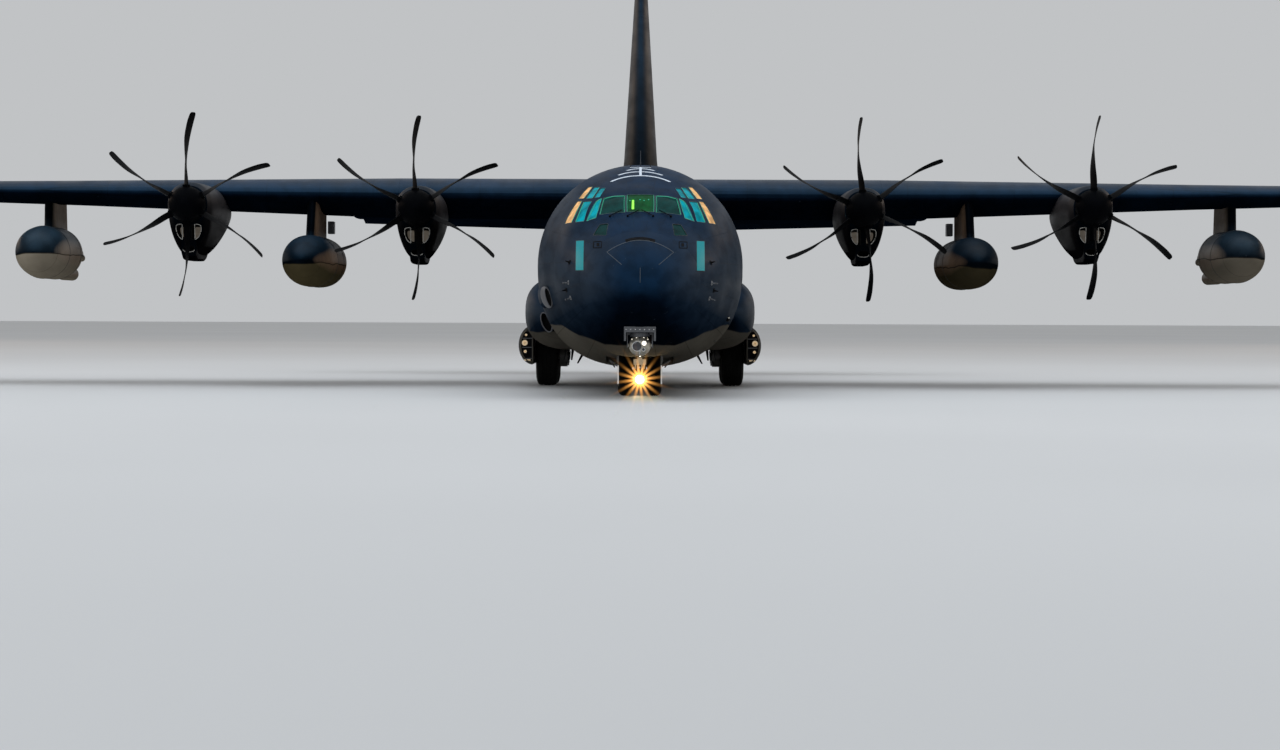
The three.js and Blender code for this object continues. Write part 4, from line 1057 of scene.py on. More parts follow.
def smooth_rows(table, values, warp=np.sqrt):
    """Rows of a table at these values, on monotone curves through its rows. The curves run
    against the warped values."""
    table, values = np.array(table, float), np.array(values, float)
    knots = warp(table[:, 0])
    entries = table[:, 1:]
    steps = np.diff(knots)[:, None]
    slopes = np.diff(entries, axis=0) / steps
    tangents = np.zeros_like(entries)
    tangents[0], tangents[-1] = slopes[0], slopes[-1]
    before, after = slopes[:-1], slopes[1:]
    first, second = 2 * steps[1:] + steps[:-1], steps[1:] + 2 * steps[:-1]
    same = before * after > 0
    safe_before, safe_after = np.where(same, before, 1), np.where(same, after, 1)
    mean = (first + second) / (first / safe_before + second / safe_after)
    tangents[1:-1] = np.where(same, mean, 0)
    where = np.clip(np.searchsorted(knots, warp(values), "right") - 1, 0, len(knots) - 2)
    share = ((warp(values) - knots[where]) / steps[where, 0])[:, None]
    rows = ((2 * share ** 3 - 3 * share ** 2 + 1) * entries[where]
            + (share ** 3 - 2 * share ** 2 + share) * (tangents[where] * steps[where])
            + (3 * share ** 2 - 2 * share ** 3) * entries[where + 1]
            + (share ** 3 - share ** 2) * (tangents[where + 1] * steps[where]))
    return np.column_stack([values, rows])


def straight(values):
    """The warp that leaves values as they are."""
    return values


def body_rows(stations):
    return smooth_rows(BODY, stations)


def nacelle_rows(stations):
    return smooth_rows(NACELLE, stations, warp=lambda s: np.sqrt(s - NACELLE_WARP))


def oval_ring(row, inset=0.0, count=BODY_POINTS, x=0.0, z=0.0):
    """A section that has its own power above and below its widest line."""
    station, top, bottom, half_width, widest, upper, lower = row
    c, s = np.cos(turns(count)), np.sin(turns(count))
    power = 2 / np.where(s >= 0, upper, lower)
    height = np.where(s >= 0, top - inset - widest, widest - bottom - inset)
    return section(x + (half_width - inset) * np.sign(c) * np.abs(c) ** power, station,
                   z + widest + height * np.sign(s) * np.abs(s) ** power)


def body_stations(first, last):
    """Stations of the fine body: close together at the nose, and far apart where it is straight."""
    marks = [first, last]
    marks += [m for m in (np.arange(0, 34) ** 2 * 1.0) if first < m < last]
    marks += [m for m in range(1200, FORWARD_END + 1, 130) if first < m < last]
    marks += [m for m in range(FORWARD_END, CENTER_END, 1250) if first < m < last]
    marks += [m for m in range(CENTER_END, LENGTH, 260) if first < m < last]
    marks = sorted(marks)
    return [m for i, m in enumerate(marks) if i == 0 or m - marks[i - 1] > 2]


def body(first, last, inset=0.0):
    return loft([oval_ring(row, inset) for row in body_rows(body_stations(first, last))])


def body_shell(first, last, inset=0.0, depth=WALL):
    """The body's skin between two stations, open at both ends."""
    rows = body_rows(body_stations(first, last))
    outer = [oval_ring(row, inset) for row in rows]
    inner = [oval_ring(row, inset + depth) for row in rows]
    return loft(outer + inner[::-1], closed=True)


def meeting_station(rows_at, x, z, first, last, rounds):
    """Stations at which lines along the stations, at x and z, meet the skin of a body. rows_at
    gives the body's sections."""
    low, high = np.full(len(x), float(first)), np.full(len(x), float(last))
    for _ in range(rounds):
        middle = (low + high) / 2
        _, top, bottom, half_width, widest, upper, lower = rows_at(middle).T
        power = np.where(z >= widest, upper, lower)
        height = np.where(z >= widest, top - widest, widest - bottom)
        free = np.abs(x / half_width) ** power + np.abs((z - widest) / height) ** power > 1
        low, high = np.where(free, middle, low), np.where(free, high, middle)
    return high


def floats(values):
    return np.atleast_1d(values).astype(float)


def on_nose(x, z):
    """Points of the nose and its windows, given as seen from ahead."""
    x, z = floats(x), floats(z)
    return section(x, meeting_station(body_rows, x, z, 0, FORWARD_END, 26), z)


def on_skin(x, station, upper_side):
    x, station = floats(x), floats(station)
    _, top, bottom, half_width, widest, upper, lower = body_rows(station).T
    power, end = (upper, top) if upper_side else (lower, bottom)
    share = np.maximum(0, 1 - np.abs(x / half_width) ** power) ** (1 / power)
    return section(x, station, widest + (end - widest) * share)


def on_roof(x, station):
    return on_skin(x, station, True)


def on_belly(x, station):
    return on_skin(x, station, False)


def on_side(station, z):
    """Points of the left side."""
    station, z = floats(station), floats(z)
    _, top, bottom, half_width, widest, upper, lower = body_rows(station).T
    power = np.where(z >= widest, upper, lower)
    height = np.where(z >= widest, top - widest, widest - bottom)
    share = np.maximum(0, 1 - np.abs((z - widest) / height) ** power) ** (1 / power)
    return section(half_width * share, station, z)


def plate(surface, grid, lift):
    """A thin plate on the skin. The grid holds the surface's two coordinates of each point."""
    grid = np.asarray(grid, float)
    rows, cols = grid.shape[:2]
    points = surface(grid[..., 0].ravel(), grid[..., 1].ravel()).reshape(rows, cols, 3)
    normal = np.cross(np.gradient(points, axis=0), np.gradient(points, axis=1))
    normal /= np.maximum(np.linalg.norm(normal, axis=2, keepdims=True), 1e-9)
    outward = points * (1, 0, 1) - BODY_HEART
    normal *= np.where((normal * outward).sum(2, keepdims=True) > 0, 1, -1)
    corners = np.concatenate([(points + normal * lift).reshape(-1, 3),
                              (points - normal * PLATE_SINK).reshape(-1, 3)])
    faces = []
    under = rows * cols
    for r in range(rows - 1):
        for c in range(cols - 1):
            a, b = r * cols + c, (r + 1) * cols + c
            faces += [(a, a + 1, b + 1, b), (under + a, under + b, under + b + 1, under + a + 1)]
    edge = ([(0, c) for c in range(cols)] + [(r, cols - 1) for r in range(1, rows)]
            + [(rows - 1, c) for c in range(cols - 2, -1, -1)]
            + [(r, 0) for r in range(rows - 2, 0, -1)])
    ring = [r * cols + c for r, c in edge]
    faces += [(ring[i], ring[i - 1], under + ring[i - 1], under + ring[i]) for i in range(len(ring))]
    return solid(corners, faces)


def patch(surface, corners, lift, steps=8):
    """A four-cornered plate on the skin."""
    share = np.linspace(0, 1, steps + 1)
    a, b, c, d = [np.array(corner, float) for corner in corners]
    grid = [[(1 - v) * ((1 - u) * a + u * b) + v * ((1 - u) * d + u * c) for u in share]
            for v in share]
    return plate(surface, grid, lift)


def ribbon(surface, path, width, lift=4.0, steps=24):
    """A strip on the skin along a path, with its width square to the path."""
    path = np.array(path, float)
    reach = np.concatenate([[0], np.cumsum(np.linalg.norm(np.diff(path, axis=0), axis=1))])
    where = np.linspace(0, reach[-1], steps + 1)
    line = np.stack([np.interp(where, reach, path[:, i]) for i in (0, 1)], axis=1)
    along = np.gradient(line, axis=0)
    side = np.stack([-along[:, 1], along[:, 0]], axis=1)
    side *= width / 2 / np.linalg.norm(side, axis=1, keepdims=True)
    return plate(surface, np.stack([line - side, line, line + side], axis=1), lift)


def outlined(surface, first, last, width, lift=4.0, steps=24):
    """Strips along the four edges of a rectangle on the skin."""
    (a0, b0), (a1, b1) = first, last
    paths = ([(a0, b0), (a1, b0)], [(a0, b1), (a1, b1)], [(a0, b0), (a0, b1)], [(a1, b0), (a1, b1)])
    return [ribbon(surface, path, width, lift, steps) for path in paths]


def arch(half_width, ends, middle):
    """A curve across the middle line: ends and middle are its second coordinate there."""
    return [(half_width * t, middle + (ends - middle) * t * t) for t in np.linspace(-1, 1, 17)]


def outline_normal(points):
    middle = points.mean(0)
    around = points - middle
    normal = np.cross(around, np.roll(around, -1, axis=0)).sum(0)
    normal /= np.linalg.norm(normal)
    return -normal if normal[1] > 0 else normal


def window_cutter(corners, grow, out=200.0, inward=320.0):
    """A window's outline on the skin, grown sideways and carried in and out."""
    flat = np.array(rounded(corners, WINDOW_CORNER, 3))
    points = on_nose(flat[:, 0], flat[:, 1])
    sharp = np.array(corners, float)
    normal = outline_normal(on_nose(sharp[:, 0], sharp[:, 1]))
    away = points - points.mean(0)
    grown = points + away / np.linalg.norm(away, axis=1)[:, None] * grow
    return loft([grown + normal * out, grown - normal * inward])


def all_windows():
    """The corners of every cockpit window, by its name and side."""
    windows = {f"{name}_left": corners for name, corners in WINDOWS.items()}
    windows.update({f"{name}_right": [(-x, z) for x, z in corners]
                    for name, corners in WINDOWS.items()})
    windows["windshield_centre"] = CENTRE_WINDOW
    return windows


# Fuselage

def side_door(stations, heights, inset=0.0):
    (s0, s1), (z0, z1) = stations, heights
    corners = rectangle((s0 + inset, z0 + inset), (s1 - inset, z1 - inset))
    return prism("x", rounded(corners, DOOR_CORNER), *DOOR_REACH)


def split_station(z):
    return RAMP_END - (z - SPLIT_HEIGHT) * SPLIT_LEAN


def ramp_top(station):
    return CARGO_FLOOR_TOP + (station - RAMP_PIVOT[0]) * RAMP_SLOPE


RAMP_HEAD = ramp_top(split_station(0)) / (1 + SPLIT_LEAN * RAMP_SLOPE)


def ramp_side():
    nose = [(RAMP_PIVOT[0] + RAMP_NOSE * math.cos(math.radians(angle)),
             RAMP_PIVOT[1] + RAMP_NOSE * math.sin(math.radians(angle)))
            for angle in range(90, 271, 12)]
    foot = RAMP_PIVOT[1] - RAMP_NOSE
    return nose + [(split_station(foot), foot), (split_station(RAMP_HEAD), RAMP_HEAD)]


def cargo_door_space(inset, split_gap):
    front, back = [half + inset for half in CARGO_DOOR_HALF]
    start, end = RAMP_END - 400, CARGO_DOOR_END + inset
    plan = [(-front, start), (front, start), (back, end), (-back, end)]
    behind = [
        (split_station(0) + split_gap, 0),
        (end + 100, 0),
        (end + 100, CARGO_DOOR_TOP),
        (split_station(CARGO_DOOR_TOP) + split_gap, CARGO_DOOR_TOP),
    ]
    return common(prism("z", plan, 0, CARGO_DOOR_TOP), prism("x", behind, -2000, 2000))


def ramp_opening():
    head = ramp_top(RAMP_END) + CLEARANCE
    side = [
        (CENTER_END - 50, 0),
        (split_station(0) + SPLIT_GAP, 0),
        (split_station(head) + SPLIT_GAP, head),
        (RAMP_PIVOT[0], CARGO_FLOOR_TOP + CLEARANCE),
        (CENTER_END - 50, CARGO_FLOOR_TOP + CLEARANCE),
    ]
    return prism("x", side, -RAMP_HALF - CLEARANCE, RAMP_HALF + CLEARANCE)


def turret_recess():
    _, station, height = TURRET
    return post(0, station, 900, height + 280, 275, 48)


def aft_shell():
    inner = body_rows(body_stations(CENTER_END - 10, LENGTH - AFT_PLUG))
    return cut(body(CENTER_END, LENGTH), loft([oval_ring(row, AFT_WALL) for row in inner]))


def nose_well():
    right = [(-half, station) for half, station in reversed(NOSE_WELL)]
    return prism("z", NOSE_WELL + right, 0, 1400)


def make_fuselage():
    piece("nose_cone", cut(body(0, RADOME_END - 1), turret_recess()), "radome", replaces=["radome"])
    windows = [window_cutter(corners, 6) for corners in all_windows().values()]
    forward = cut(body_shell(RADOME_END + 1, FORWARD_END - 2), *windows,
                  side_door(*CREW_DOOR), nose_well(), turret_recess())
    bump = cut(scoop(NOSE_SCOOP, 0), body(3000, 6000, 60))
    forward = cut(join(forward, flipped(bump)), flipped(scoop_mouth(NOSE_SCOOP, 100, 14)))
    piece("nose_hull", forward, "hull", replaces=["forward_fuselage"], lining="cabin")
    rim = flipped(hoop(scoop_ring(NOSE_SCOOP[0], 8, 40), 9))
    band = cut(scoop(NOSE_SCOOP, -4), scoop(NOSE_SCOOP, -1),
               block(*SCOOP_BAND), body(3000, 6000, -1))
    plug = loft([scoop_ring([station, *NOSE_SCOOP[0][1:]], 2) for station in NOSE_SCOOP_PLUG])
    piece("nose_scoop_rim", gathered([rim, flipped(band)]), "trim")
    # A black plug in the scoop's mouth: painted shade
    piece("nose_scoop_shade_plug", flipped(plug), "shade_black")
    door = common(body_shell(4700, FORWARD_END), side_door(*CREW_DOOR, CLEARANCE))
    door = cut(door, *window_holes(SIDE_WINDOWS["crew"]))
    piece("crew_door_skin", door, "hull", "crew_door", ["crew_door"], lining="cabin")

    opening = side_door(*PARATROOP_DOOR)
    well = block(*WHEEL_WELL)
    holes = window_holes(SIDE_WINDOWS["hull"])
    center = cut(body_shell(FORWARD_END + 3, CENTER_END - 3), wing_space(),
                 mirrored(opening), opening, mirrored(well), well,
                 *[mirrored(hole) for hole in holes], *holes)
    piece("cargo_hull", center, "hull", replaces=["center_fuselage"], lining="cabin")
    jump_door = common(body_shell(16800, CENTER_END), side_door(*PARATROOP_DOOR, 6))
    jump_door = cut(jump_door, *window_holes(SIDE_WINDOWS["jump"]))
    pair("jump_door", jump_door, "hull", replaces="paratroop_door_{side}", lining="cabin")

    tail_root = whole_span(TAILPLANE[:2], 1)
    aft = cut(aft_shell(), ramp_opening(), cargo_door_space(CLEARANCE, -60), tail_root)
    piece("tail_hull", aft, "hull", replaces=["aft_fuselage"], lining="cabin")
    ramp = common(body(CENTER_END - 400, 23000), prism("x", ramp_side(), -RAMP_HALF, RAMP_HALF))
    piece("ramp_skin", ramp, "hull", "cargo_ramp", ["cargo_ramp"])
    door = common(aft_shell(), cargo_door_space(0, SPLIT_GAP))
    piece("cargo_door_skin", door, "hull", "aft_cargo_door", ["aft_cargo_door"], lining="cabin")


# Panes whose amber colour is a painted warm reflection
WARM_REFLECTION_PANES = ("side_rear", "upper_rear")


def pane_look(name):
    kind = name.rsplit("_", 1)[0]
    if kind in WARM_REFLECTION_PANES:
        return "glass_warm_reflection"
    return {"windshield": "glass_front", "lower_nose": "glass_dark"}.get(kind, "glass_side")


# Glazing: how deep a pane and a frame lie in the wall and how thick they are, how far their
# outlines grow beyond the window's, and how far their cutters reach out and in
PANE_LAYER = (8, 30)
FRAME_LAYER = (-4, 60)
PANE_GROW = 3
FRAME_GROW = 9
FRAME_HOLE_GROW = -3
PANE_CUT = (200, 300)
FRAME_CUT = (250, 350)
WINDOW_MARGIN = 150


def make_glazing():
    panes = {look: [] for look in ("glass_side", "glass_front", "glass_warm_reflection", "glass_dark")}
    frames, seals = [], []
    for name, corners in all_windows().items():
        sharp = np.array(corners, float)
        stations = on_nose(sharp[:, 0], sharp[:, 1])[:, 1]
        reach = (stations.min() - WINDOW_MARGIN, stations.max() + WINDOW_MARGIN)
        look = pane_look(name)
        pane_cutter = window_cutter(corners, PANE_GROW, *PANE_CUT)
        panes[look].append(common(body_shell(*reach, *PANE_LAYER), pane_cutter))
        frame_cutter = window_cutter(corners, FRAME_GROW, *PANE_CUT)
        rim = common(body_shell(*reach, *FRAME_LAYER), frame_cutter)
        ring = cut(rim, window_cutter(corners, FRAME_HOLE_GROW, *FRAME_CUT))
        (seals if look == "glass_dark" else frames).append(ring)
    for look, parts in panes.items():
        stands_for = ["cockpit_glazing"] if look == "glass_side" else ()
        piece(f"panes_{look}", gathered(parts), look, replaces=stands_for)
    piece("window_frames", gathered(frames), "frame")
    piece("window_seals", gathered(seals), "seal")


def make_pane_highlights_and_display():
    """Painted highlights along the inner edges of the front panes, and the head-up display behind
    them.
    """
    paths = [*CENTRE_PANE_HIGHLIGHTS]
    paths += [[(side * x, z) for x, z in path] for side in (-1, 1) for path in PANE_HIGHLIGHTS]
    piece("pane_edge_highlights", gathered([ribbon(on_nose, path, 7, 3, 10) for path in paths]), "highlight_glow")
    piece("display_strip", patch(on_nose, DISPLAY_STRIP, 3, 4), "display")
    marks = [patch(on_nose, rectangle((x, z + 13), (x + 26, z)), 3, 2) for x, z in DISPLAY_MARKS]
    piece("display_marks", gathered(marks), "highlight_glow")


# Wings and tail surfaces

def airfoil_half(share):
    return 5 * (0.2969 * np.sqrt(share) - 0.126 * share - 0.3516 * share ** 2
                + 0.2843 * share ** 3 - 0.1036 * share ** 4)


def row_at(table, value):
    table = np.array(table, float)
    return np.array([np.interp(value, table[:, 0], column) for column in table.T])


def rows_between(table, first, last):
    inside = [row for row in table if first < row[0] < last]
    return [row_at(table, first), *inside, row_at(table, last)]


def airfoil(row, grow):
    """Ring of a lifting surface: span, station and height of each point, upper side first."""
    span, leading, trailing, height, thickness, incidence = row
    share = (1 - np.cos(np.pi * np.arange(CHORD_STEPS) / (CHORD_STEPS - 1))) / 2
    chord = trailing - leading
    half = np.maximum(airfoil_half(share) * thickness * chord + EDGE + grow, EDGE / 2)
    camber = height + (CAMBER_PIVOT - share) * chord * math.sin(math.radians(incidence))
    along = leading - grow + share * (chord + 2 * grow)
    upper, lower = section(span, along, camber + half), section(span, along, camber - half)
    return np.concatenate([upper, lower[::-1]])


def wing_solid(first, last, grow=0.0):
    return loft([airfoil(row, grow) for row in rows_between(WING, first, last)])


def whole_span(table, grow=0.0):
    mirror = [[-row[0], *row[1:]] for row in table[:0:-1]]
    return loft([airfoil(row, grow) for row in [*mirror, *table]])


def fin_solid():
    return loft([airfoil(row, 0)[:, [2, 1, 0]] for row in FIN])


def behind_share(share, first, last, ahead):
    front = [(row[0], row[1] + share * (row[2] - row[1]) - ahead)
             for row in rows_between(WING, first, last)]
    return [*front, (last, WING_BACK), (first, WING_BACK)]


def half_thickness(row, share):
    return airfoil_half(share) * row[4] * (row[2] - row[1]) + EDGE


def flap(first, last):
    plan = behind_share(FLAP_SHARE, first, last, -CLEARANCE)
    return common(wing_solid(max(first - 10, 0), last + 10), prism("z", plan, *WING_HEIGHTS))


def flap_space(first, last):
    return prism("z", behind_share(FLAP_SHARE, first, last, 0), *WING_HEIGHTS)


def aileron_hinge(span):
    """A point of the aileron's hinge line, and the radius of its round nose there."""
    row = row_at(WING, span)
    chord = row[2] - row[1]
    height = row[3] + (CAMBER_PIVOT - AILERON_SHARE) * chord * math.sin(math.radians(row[5]))
    place = (span, row[1] + AILERON_SHARE * chord, height)
    return place, half_thickness(row, AILERON_SHARE) - NOSE_SINK


def aileron(first, last):
    plan = behind_share(AILERON_SHARE, first, last, 0)
    (start, start_radius), (end, end_radius) = aileron_hinge(first), aileron_hinge(last)
    tail_part = common(wing_solid(first - 10, last + 10), prism("z", plan, *WING_HEIGHTS))
    nose = common(rod(start, end, start_radius, end_radius, 32),
                  block((first, last), (WING_FRONT, WING_BACK), WING_HEIGHTS))
    return join(tail_part, nose)


def crown(grow):
    """The body's roof over the wing."""
    return common(body(11900, 17300, -grow),
                  block((-2100, 2100), (12050 - grow, 17050 + grow), (4300 - grow, 5200)))


def wing_space():
    return join(whole_span(WING[:2], 2), crown(2))


def make_wings():
    flaps = flap_space(FLAP_ROOT - FLAP_GAP, WING_JOINT + 100)
    center = cut(join(whole_span(WING[:2]), crown(1)), mirrored(flaps), flaps)
    piece("center_wing", center, "wing", replaces=["wing_center"])
    ahead = aileron_hinge(FLAP_END)[1] + HINGE_ROOM
    plan = behind_share(AILERON_SHARE, FLAP_END - 1, AILERON_END + CLEARANCE, ahead)
    outer = cut(wing_solid(WING_JOINT + 3, WING_TIP), flap_space(WING_JOINT, FLAP_END),
                prism("z", plan, *WING_HEIGHTS))
    pair("outer_wing", outer, "wing", replaces="wing_{side}")
    spans = {"inboard": (FLAP_ROOT, WING_JOINT - FLAP_GAP),
             "outboard": (WING_JOINT + FLAP_GAP, FLAP_END - FLAP_GAP)}
    for name, span in spans.items():
        pair(f"{name}_flap", flap(*span), "wing", f"flap_{name}_{{side}}", f"flap_{name}_{{side}}")
    pair("aileron_skin", aileron(FLAP_END + FLAP_GAP, AILERON_END), "wing",
         "aileron_{side}", "aileron_{side}")


def rudder_radius(height):
    row = row_at(FIN, height)
    (s0, z0), (s1, z1) = RUDDER_SPAN
    hinge = s0 + (height - z0) / (z1 - z0) * (s1 - s0)
    return half_thickness(row, (hinge - row[1]) / (row[2] - row[1])) - NOSE_SINK


def behind_rudder_hinge(ahead, grow):
    (s0, z0), (s1, z1) = RUDDER_SPAN
    side = [(s0 - ahead, z0 - grow), (s1 - ahead, z1 + grow),
            (TAIL_BACK, z1 + grow), (TAIL_BACK, z0 - grow)]
    return prism("x", side, *FIN_SIDES)


def elevator_space(ahead, inset):
    root, end = ELEVATOR_ROOT - inset, ELEVATOR_END + inset
    front = ELEVATOR_HINGE - ahead
    return prism("z", rectangle((root, front), (end, TAIL_BACK)), *TAILPLANE_HEIGHTS)


def elevator_radius(span):
    row = row_at(TAILPLANE, span)
    return half_thickness(row, (ELEVATOR_HINGE - row[1]) / (row[2] - row[1])) - NOSE_SINK


def make_tail():
    (s0, z0), (s1, z1) = RUDDER_SPAN
    fin = cut(fin_solid(), behind_rudder_hinge(rudder_radius(z0) + HINGE_ROOM, CLEARANCE),
              body(20000, 29700, -1))
    piece("fin_skin", fin, "tail", replaces=["fin"])
    nose = common(rod((0, s0, z0), (0, s1, z1), rudder_radius(z0), rudder_radius(z1), 32),
                  block(FIN_SIDES, (26000, 30000), (z0, z1)))
    rudder = join(common(fin_solid(), behind_rudder_hinge(0, 0)), nose)
    piece("rudder_skin", rudder, "tail", "rudder", ["rudder"])

    space = elevator_space(elevator_radius(ELEVATOR_ROOT) + HINGE_ROOM, CLEARANCE)
    tailplane = cut(whole_span(TAILPLANE), mirrored(space), space)
    piece("tailplane_skin", tailplane, "wing", replaces=["tailplane"])
    hinge = (ELEVATOR_HINGE, TAILPLANE[0][3])
    nose = rod((ELEVATOR_ROOT, *hinge), (ELEVATOR_END, *hinge),
               elevator_radius(ELEVATOR_ROOT), elevator_radius(ELEVATOR_END), 32)
    elevator = join(common(whole_span(TAILPLANE), elevator_space(0, 0)), nose)
    pivot = Matrix.Translation(Vector(placed([(0, *hinge)])[0]))
    droop = Matrix.Rotation(math.radians(-ELEVATOR_DROOP), 4, "X")
    elevator.data.transform(pivot @ droop @ pivot.inverted())
    pair("elevator_skin", elevator, "wing", "elevator", "elevator_{side}")


# Engines

def nacelle_body(x, z, inset=0.0, first=NACELLE[0][0], last=NACELLE[-1][0]):
    rows = nacelle_rows(np.linspace(first, last, 36))
    return loft([oval_ring(row, inset, 64, x, z) for row in rows])


def nacelle_front(outline):
    """Stations at which the nacelle's skin passes through points seen from ahead, which are
    given against its thrust line."""
    x, z = np.array(outline, float).T
    stations = meeting_station(nacelle_rows, x, z, NACELLE[0][0], NACELLE[3][0], 20)
    return np.where(z < CHIN[0][1], np.minimum(stations, CHIN[0][0]), stations)


def duct_ring(station, x, z, half_width, half_height):
    """The rounded outline of a cooler's mouth."""
    row = [station, half_height, -half_height, half_width, 0, DUCT_POWER, DUCT_POWER]
    return oval_ring(row, 0, 36, x, z)


def throat(outline, first, last):
    """The lining of an intake: a tapering tube from its mouth to a station inside."""
    outline = np.array(outline, float)
    middle = outline.mean(0)
    first = np.broadcast_to(np.asarray(first, float), len(outline))
    back = np.full(len(outline), float(last))
    rings = []
    for stations, share in ((first, 1.0), (back, THROAT_END), (back, THROAT_END * THROAT_WALL),
                            (first, THROAT_WALL)):
        flat = middle + (outline - middle) * share
        rings.append(section(flat[:, 0], stations, flat[:, 1]))
    return loft(rings, closed=True)


# Nacelles: the skin's thickness and the stations of the hollow inside
NACELLE_SKIN = 60
NACELLE_HOLLOW = (10060, 14200)
# Stations: the cuts of the intakes and of the cooler's mouth, the backs of their linings, the
# plates behind the intakes (cream with painted light), the cooler's mouth and its slats
INTAKE_CUT = (9800, 10650)
COOLER_CUT = (9800, 10500)
INTAKE_BACK = 10640
COOLER_BACK = 10400
INTAKE_PLATES = (10420, 10440)
COOLER_MOUTH = 10058
COOLER_SLATS = (10330, 10370)
SLAT_HEIGHTS = range(-60, 61, 20)
INTAKE_CORNER = 55


def make_nacelle(name, x, z):
    wing_part = wing_solid(FLAP_ROOT, WING_TIP, 2)
    if x < 0:
        wing_part = flipped(wing_part)
    cooler_height, cooler_half, cooler_rise = COOLER
    cooler = (x, z + cooler_height, cooler_half, cooler_rise)
    lobe = np.array(rounded(INTAKE, INTAKE_CORNER, 4))
    lobes = [lobe, lobe * (-1, 1)]
    chin_rows = smooth_rows(CHIN, np.linspace(CHIN[0][0], CHIN[-1][0], 14), straight)
    chin = loft([oval_ring(row, 0, 48, x, z) for row in chin_rows])
    openings = [prism("station", outline + (x, z), *INTAKE_CUT) for outline in lobes]
    openings.append(loft([duct_ring(station, *cooler) for station in COOLER_CUT]))
    hollow = nacelle_body(x, z, NACELLE_SKIN, *NACELLE_HOLLOW)
    shell = cut(join(nacelle_body(x, z), chin), hollow, *openings, wing_part)
    piece(f"cowling_{name}", shell, "nacelle", replaces=[f"nacelle_{name}"])

    rims, linings, plates = [], [], []
    for outline in lobes:
        front = nacelle_front(outline)
        spot = outline + (x, z)
        ring = section(spot[:, 0], front - 3, spot[:, 1])
        outer_half = ring[np.abs(ring[:, 0] - x) > 120]
        start = int(np.argmax(np.linalg.norm(np.diff(outer_half, axis=0), axis=1))) + 1
        rims.append(pipe(np.roll(outer_half, -start, axis=0), 9))
        linings.append(throat(spot, front + 6, INTAKE_BACK))
        middle = spot.mean(0)
        plates.append(prism("station", middle + (spot - middle) * 0.70, *INTAKE_PLATES))
    mouth = duct_ring(COOLER_MOUTH, *cooler)
    rims.append(pipe(mouth[19:36], 7))
    linings.append(throat(mouth[:, [0, 2]], COOLER_MOUTH + 8, COOLER_BACK))
    # Light rims round the outer half of each intake and the lower half of the cooler: a painted
    # highlight
    piece(f"intake_rims_{name}", gathered(rims), "rim_highlight")
    # Near-black linings: painted shade inside the intakes
    piece(f"intake_linings_{name}", gathered(linings), "shade_black")
    # Cream backs with a glow: painted light deep in the intakes
    piece(f"intake_lit_backs_{name}", gathered(plates), "inside")
    middle_height = z + cooler_height
    slats = [block((x - cooler_half, x + cooler_half), COOLER_SLATS,
                   (middle_height + rise - 5, middle_height + rise + 5)) for rise in SLAT_HEIGHTS]
    piece(f"cooler_slats_{name}", gathered(slats), "shade_black")
    outer, inner = [rod((x, s0, z + z0), (x, s1, z + z1), radius, end_radius, 40)
                    for s0, z0, s1, z1, radius, end_radius in EXHAUST]
    piece(f"exhaust_pipe_{name}", cut(outer, inner), "exhaust")


def blade_section(chord, thickness):
    """Outline of a blade's section: along the chord, and across it."""
    turn = turns(28)
    across = 0.5 * np.sin(turn) * (0.62 + 0.38 * np.cos(turn + 0.4)) * 1.25
    return 0.5 * np.cos(turn) * chord, across * thickness


def blade(x, z, angle):
    radii = np.concatenate([np.linspace(*part) for part in BLADE_PARTS])
    turn = math.radians(angle)
    rings = []
    for radius, chord, thickness, pitch, sweep in smooth_rows(BLADE, radii, straight):
        along, across = blade_section(chord, thickness)
        c, s = math.cos(math.radians(pitch)), math.sin(math.radians(pitch))
        side, back = sweep + along * c - across * s, along * s + across * c
        rings.append(section(x + side * math.cos(turn) + radius * math.sin(turn),
                             PROP_STATION + back,
                             z - side * math.sin(turn) + radius * math.cos(turn)))
    return loft(rings)


SPINNER = [(9130, 0), (9135, 45), (9160, 100), (9210, 170), (9280, 235), (9380, 305),
           (9500, 358), (9620, 390), (9720, 405), (9960, 405), (9965, 398), (9965, 0)]


def make_propeller(name, x, z, turn):
    node = f"propeller_{name}"
    angles = [turn + 360 / BLADES * i for i in range(BLADES)]
    blades = [blade(x, z, angle) for angle in angles]
    piece(f"blades_{name}", gathered(blades), "blade", node, [node])
    centre = np.array((x, PROP_STATION, z), float)
    collars = []
    for angle in angles:
        way = np.array((math.sin(math.radians(angle)), 0, math.cos(math.radians(angle))))
        collars.append(rod(centre + way * 340, centre + way * 440, 96, 84))
    piece(f"spinner_{name}", gathered([turned(SPINNER, x, z, 56), *collars]), "spinner", node)


def make_engines():
    for name, (x, z, turn) in ENGINES.items():
        make_nacelle(name, x, z)
        make_propeller(name, x, z, turn)


# Landing gear

def sponson_core(inset=0.0):
    stations = np.concatenate([np.linspace(*part) for part in SPONSON_PARTS])
    rings = []
    for station, middle, half, reach in smooth_rows(SPONSON, stations, straight):
        row = [station, half, -half, reach - SPONSON_ROOT, 0, SPONSON_POWER, SPONSON_POWER]
        rings.append(oval_ring(row, inset, 64, SPONSON_ROOT, middle))
    return loft(rings)


def sponson():
    return cut(sponson_core(), block(*WHEEL_WELL), block(*LEG_WELL), body(FORWARD_END, CENTER_END, -1))


# Air scoops of the right side, one on the nose and one ahead of the sponson. Columns:
# station, distance from the centreline, height, half width, half height, lean in degrees
NOSE_SCOOP = [
    [3560, 1865, 2015, 62, 205, 16],
    [3660, 1890, 2015, 104, 222, 16],
    [3900, 1925, 2015, 110, 226, 16],
    [4500, 2005, 2010, 95, 222, 14],
    [5300, 2058, 2000, 45, 150, 12],
]
LOW_SCOOP = [
    [8950, 2071, 1490, 112, 235, 22],
    [10100, 2071, 1490, 112, 235, 22],
]
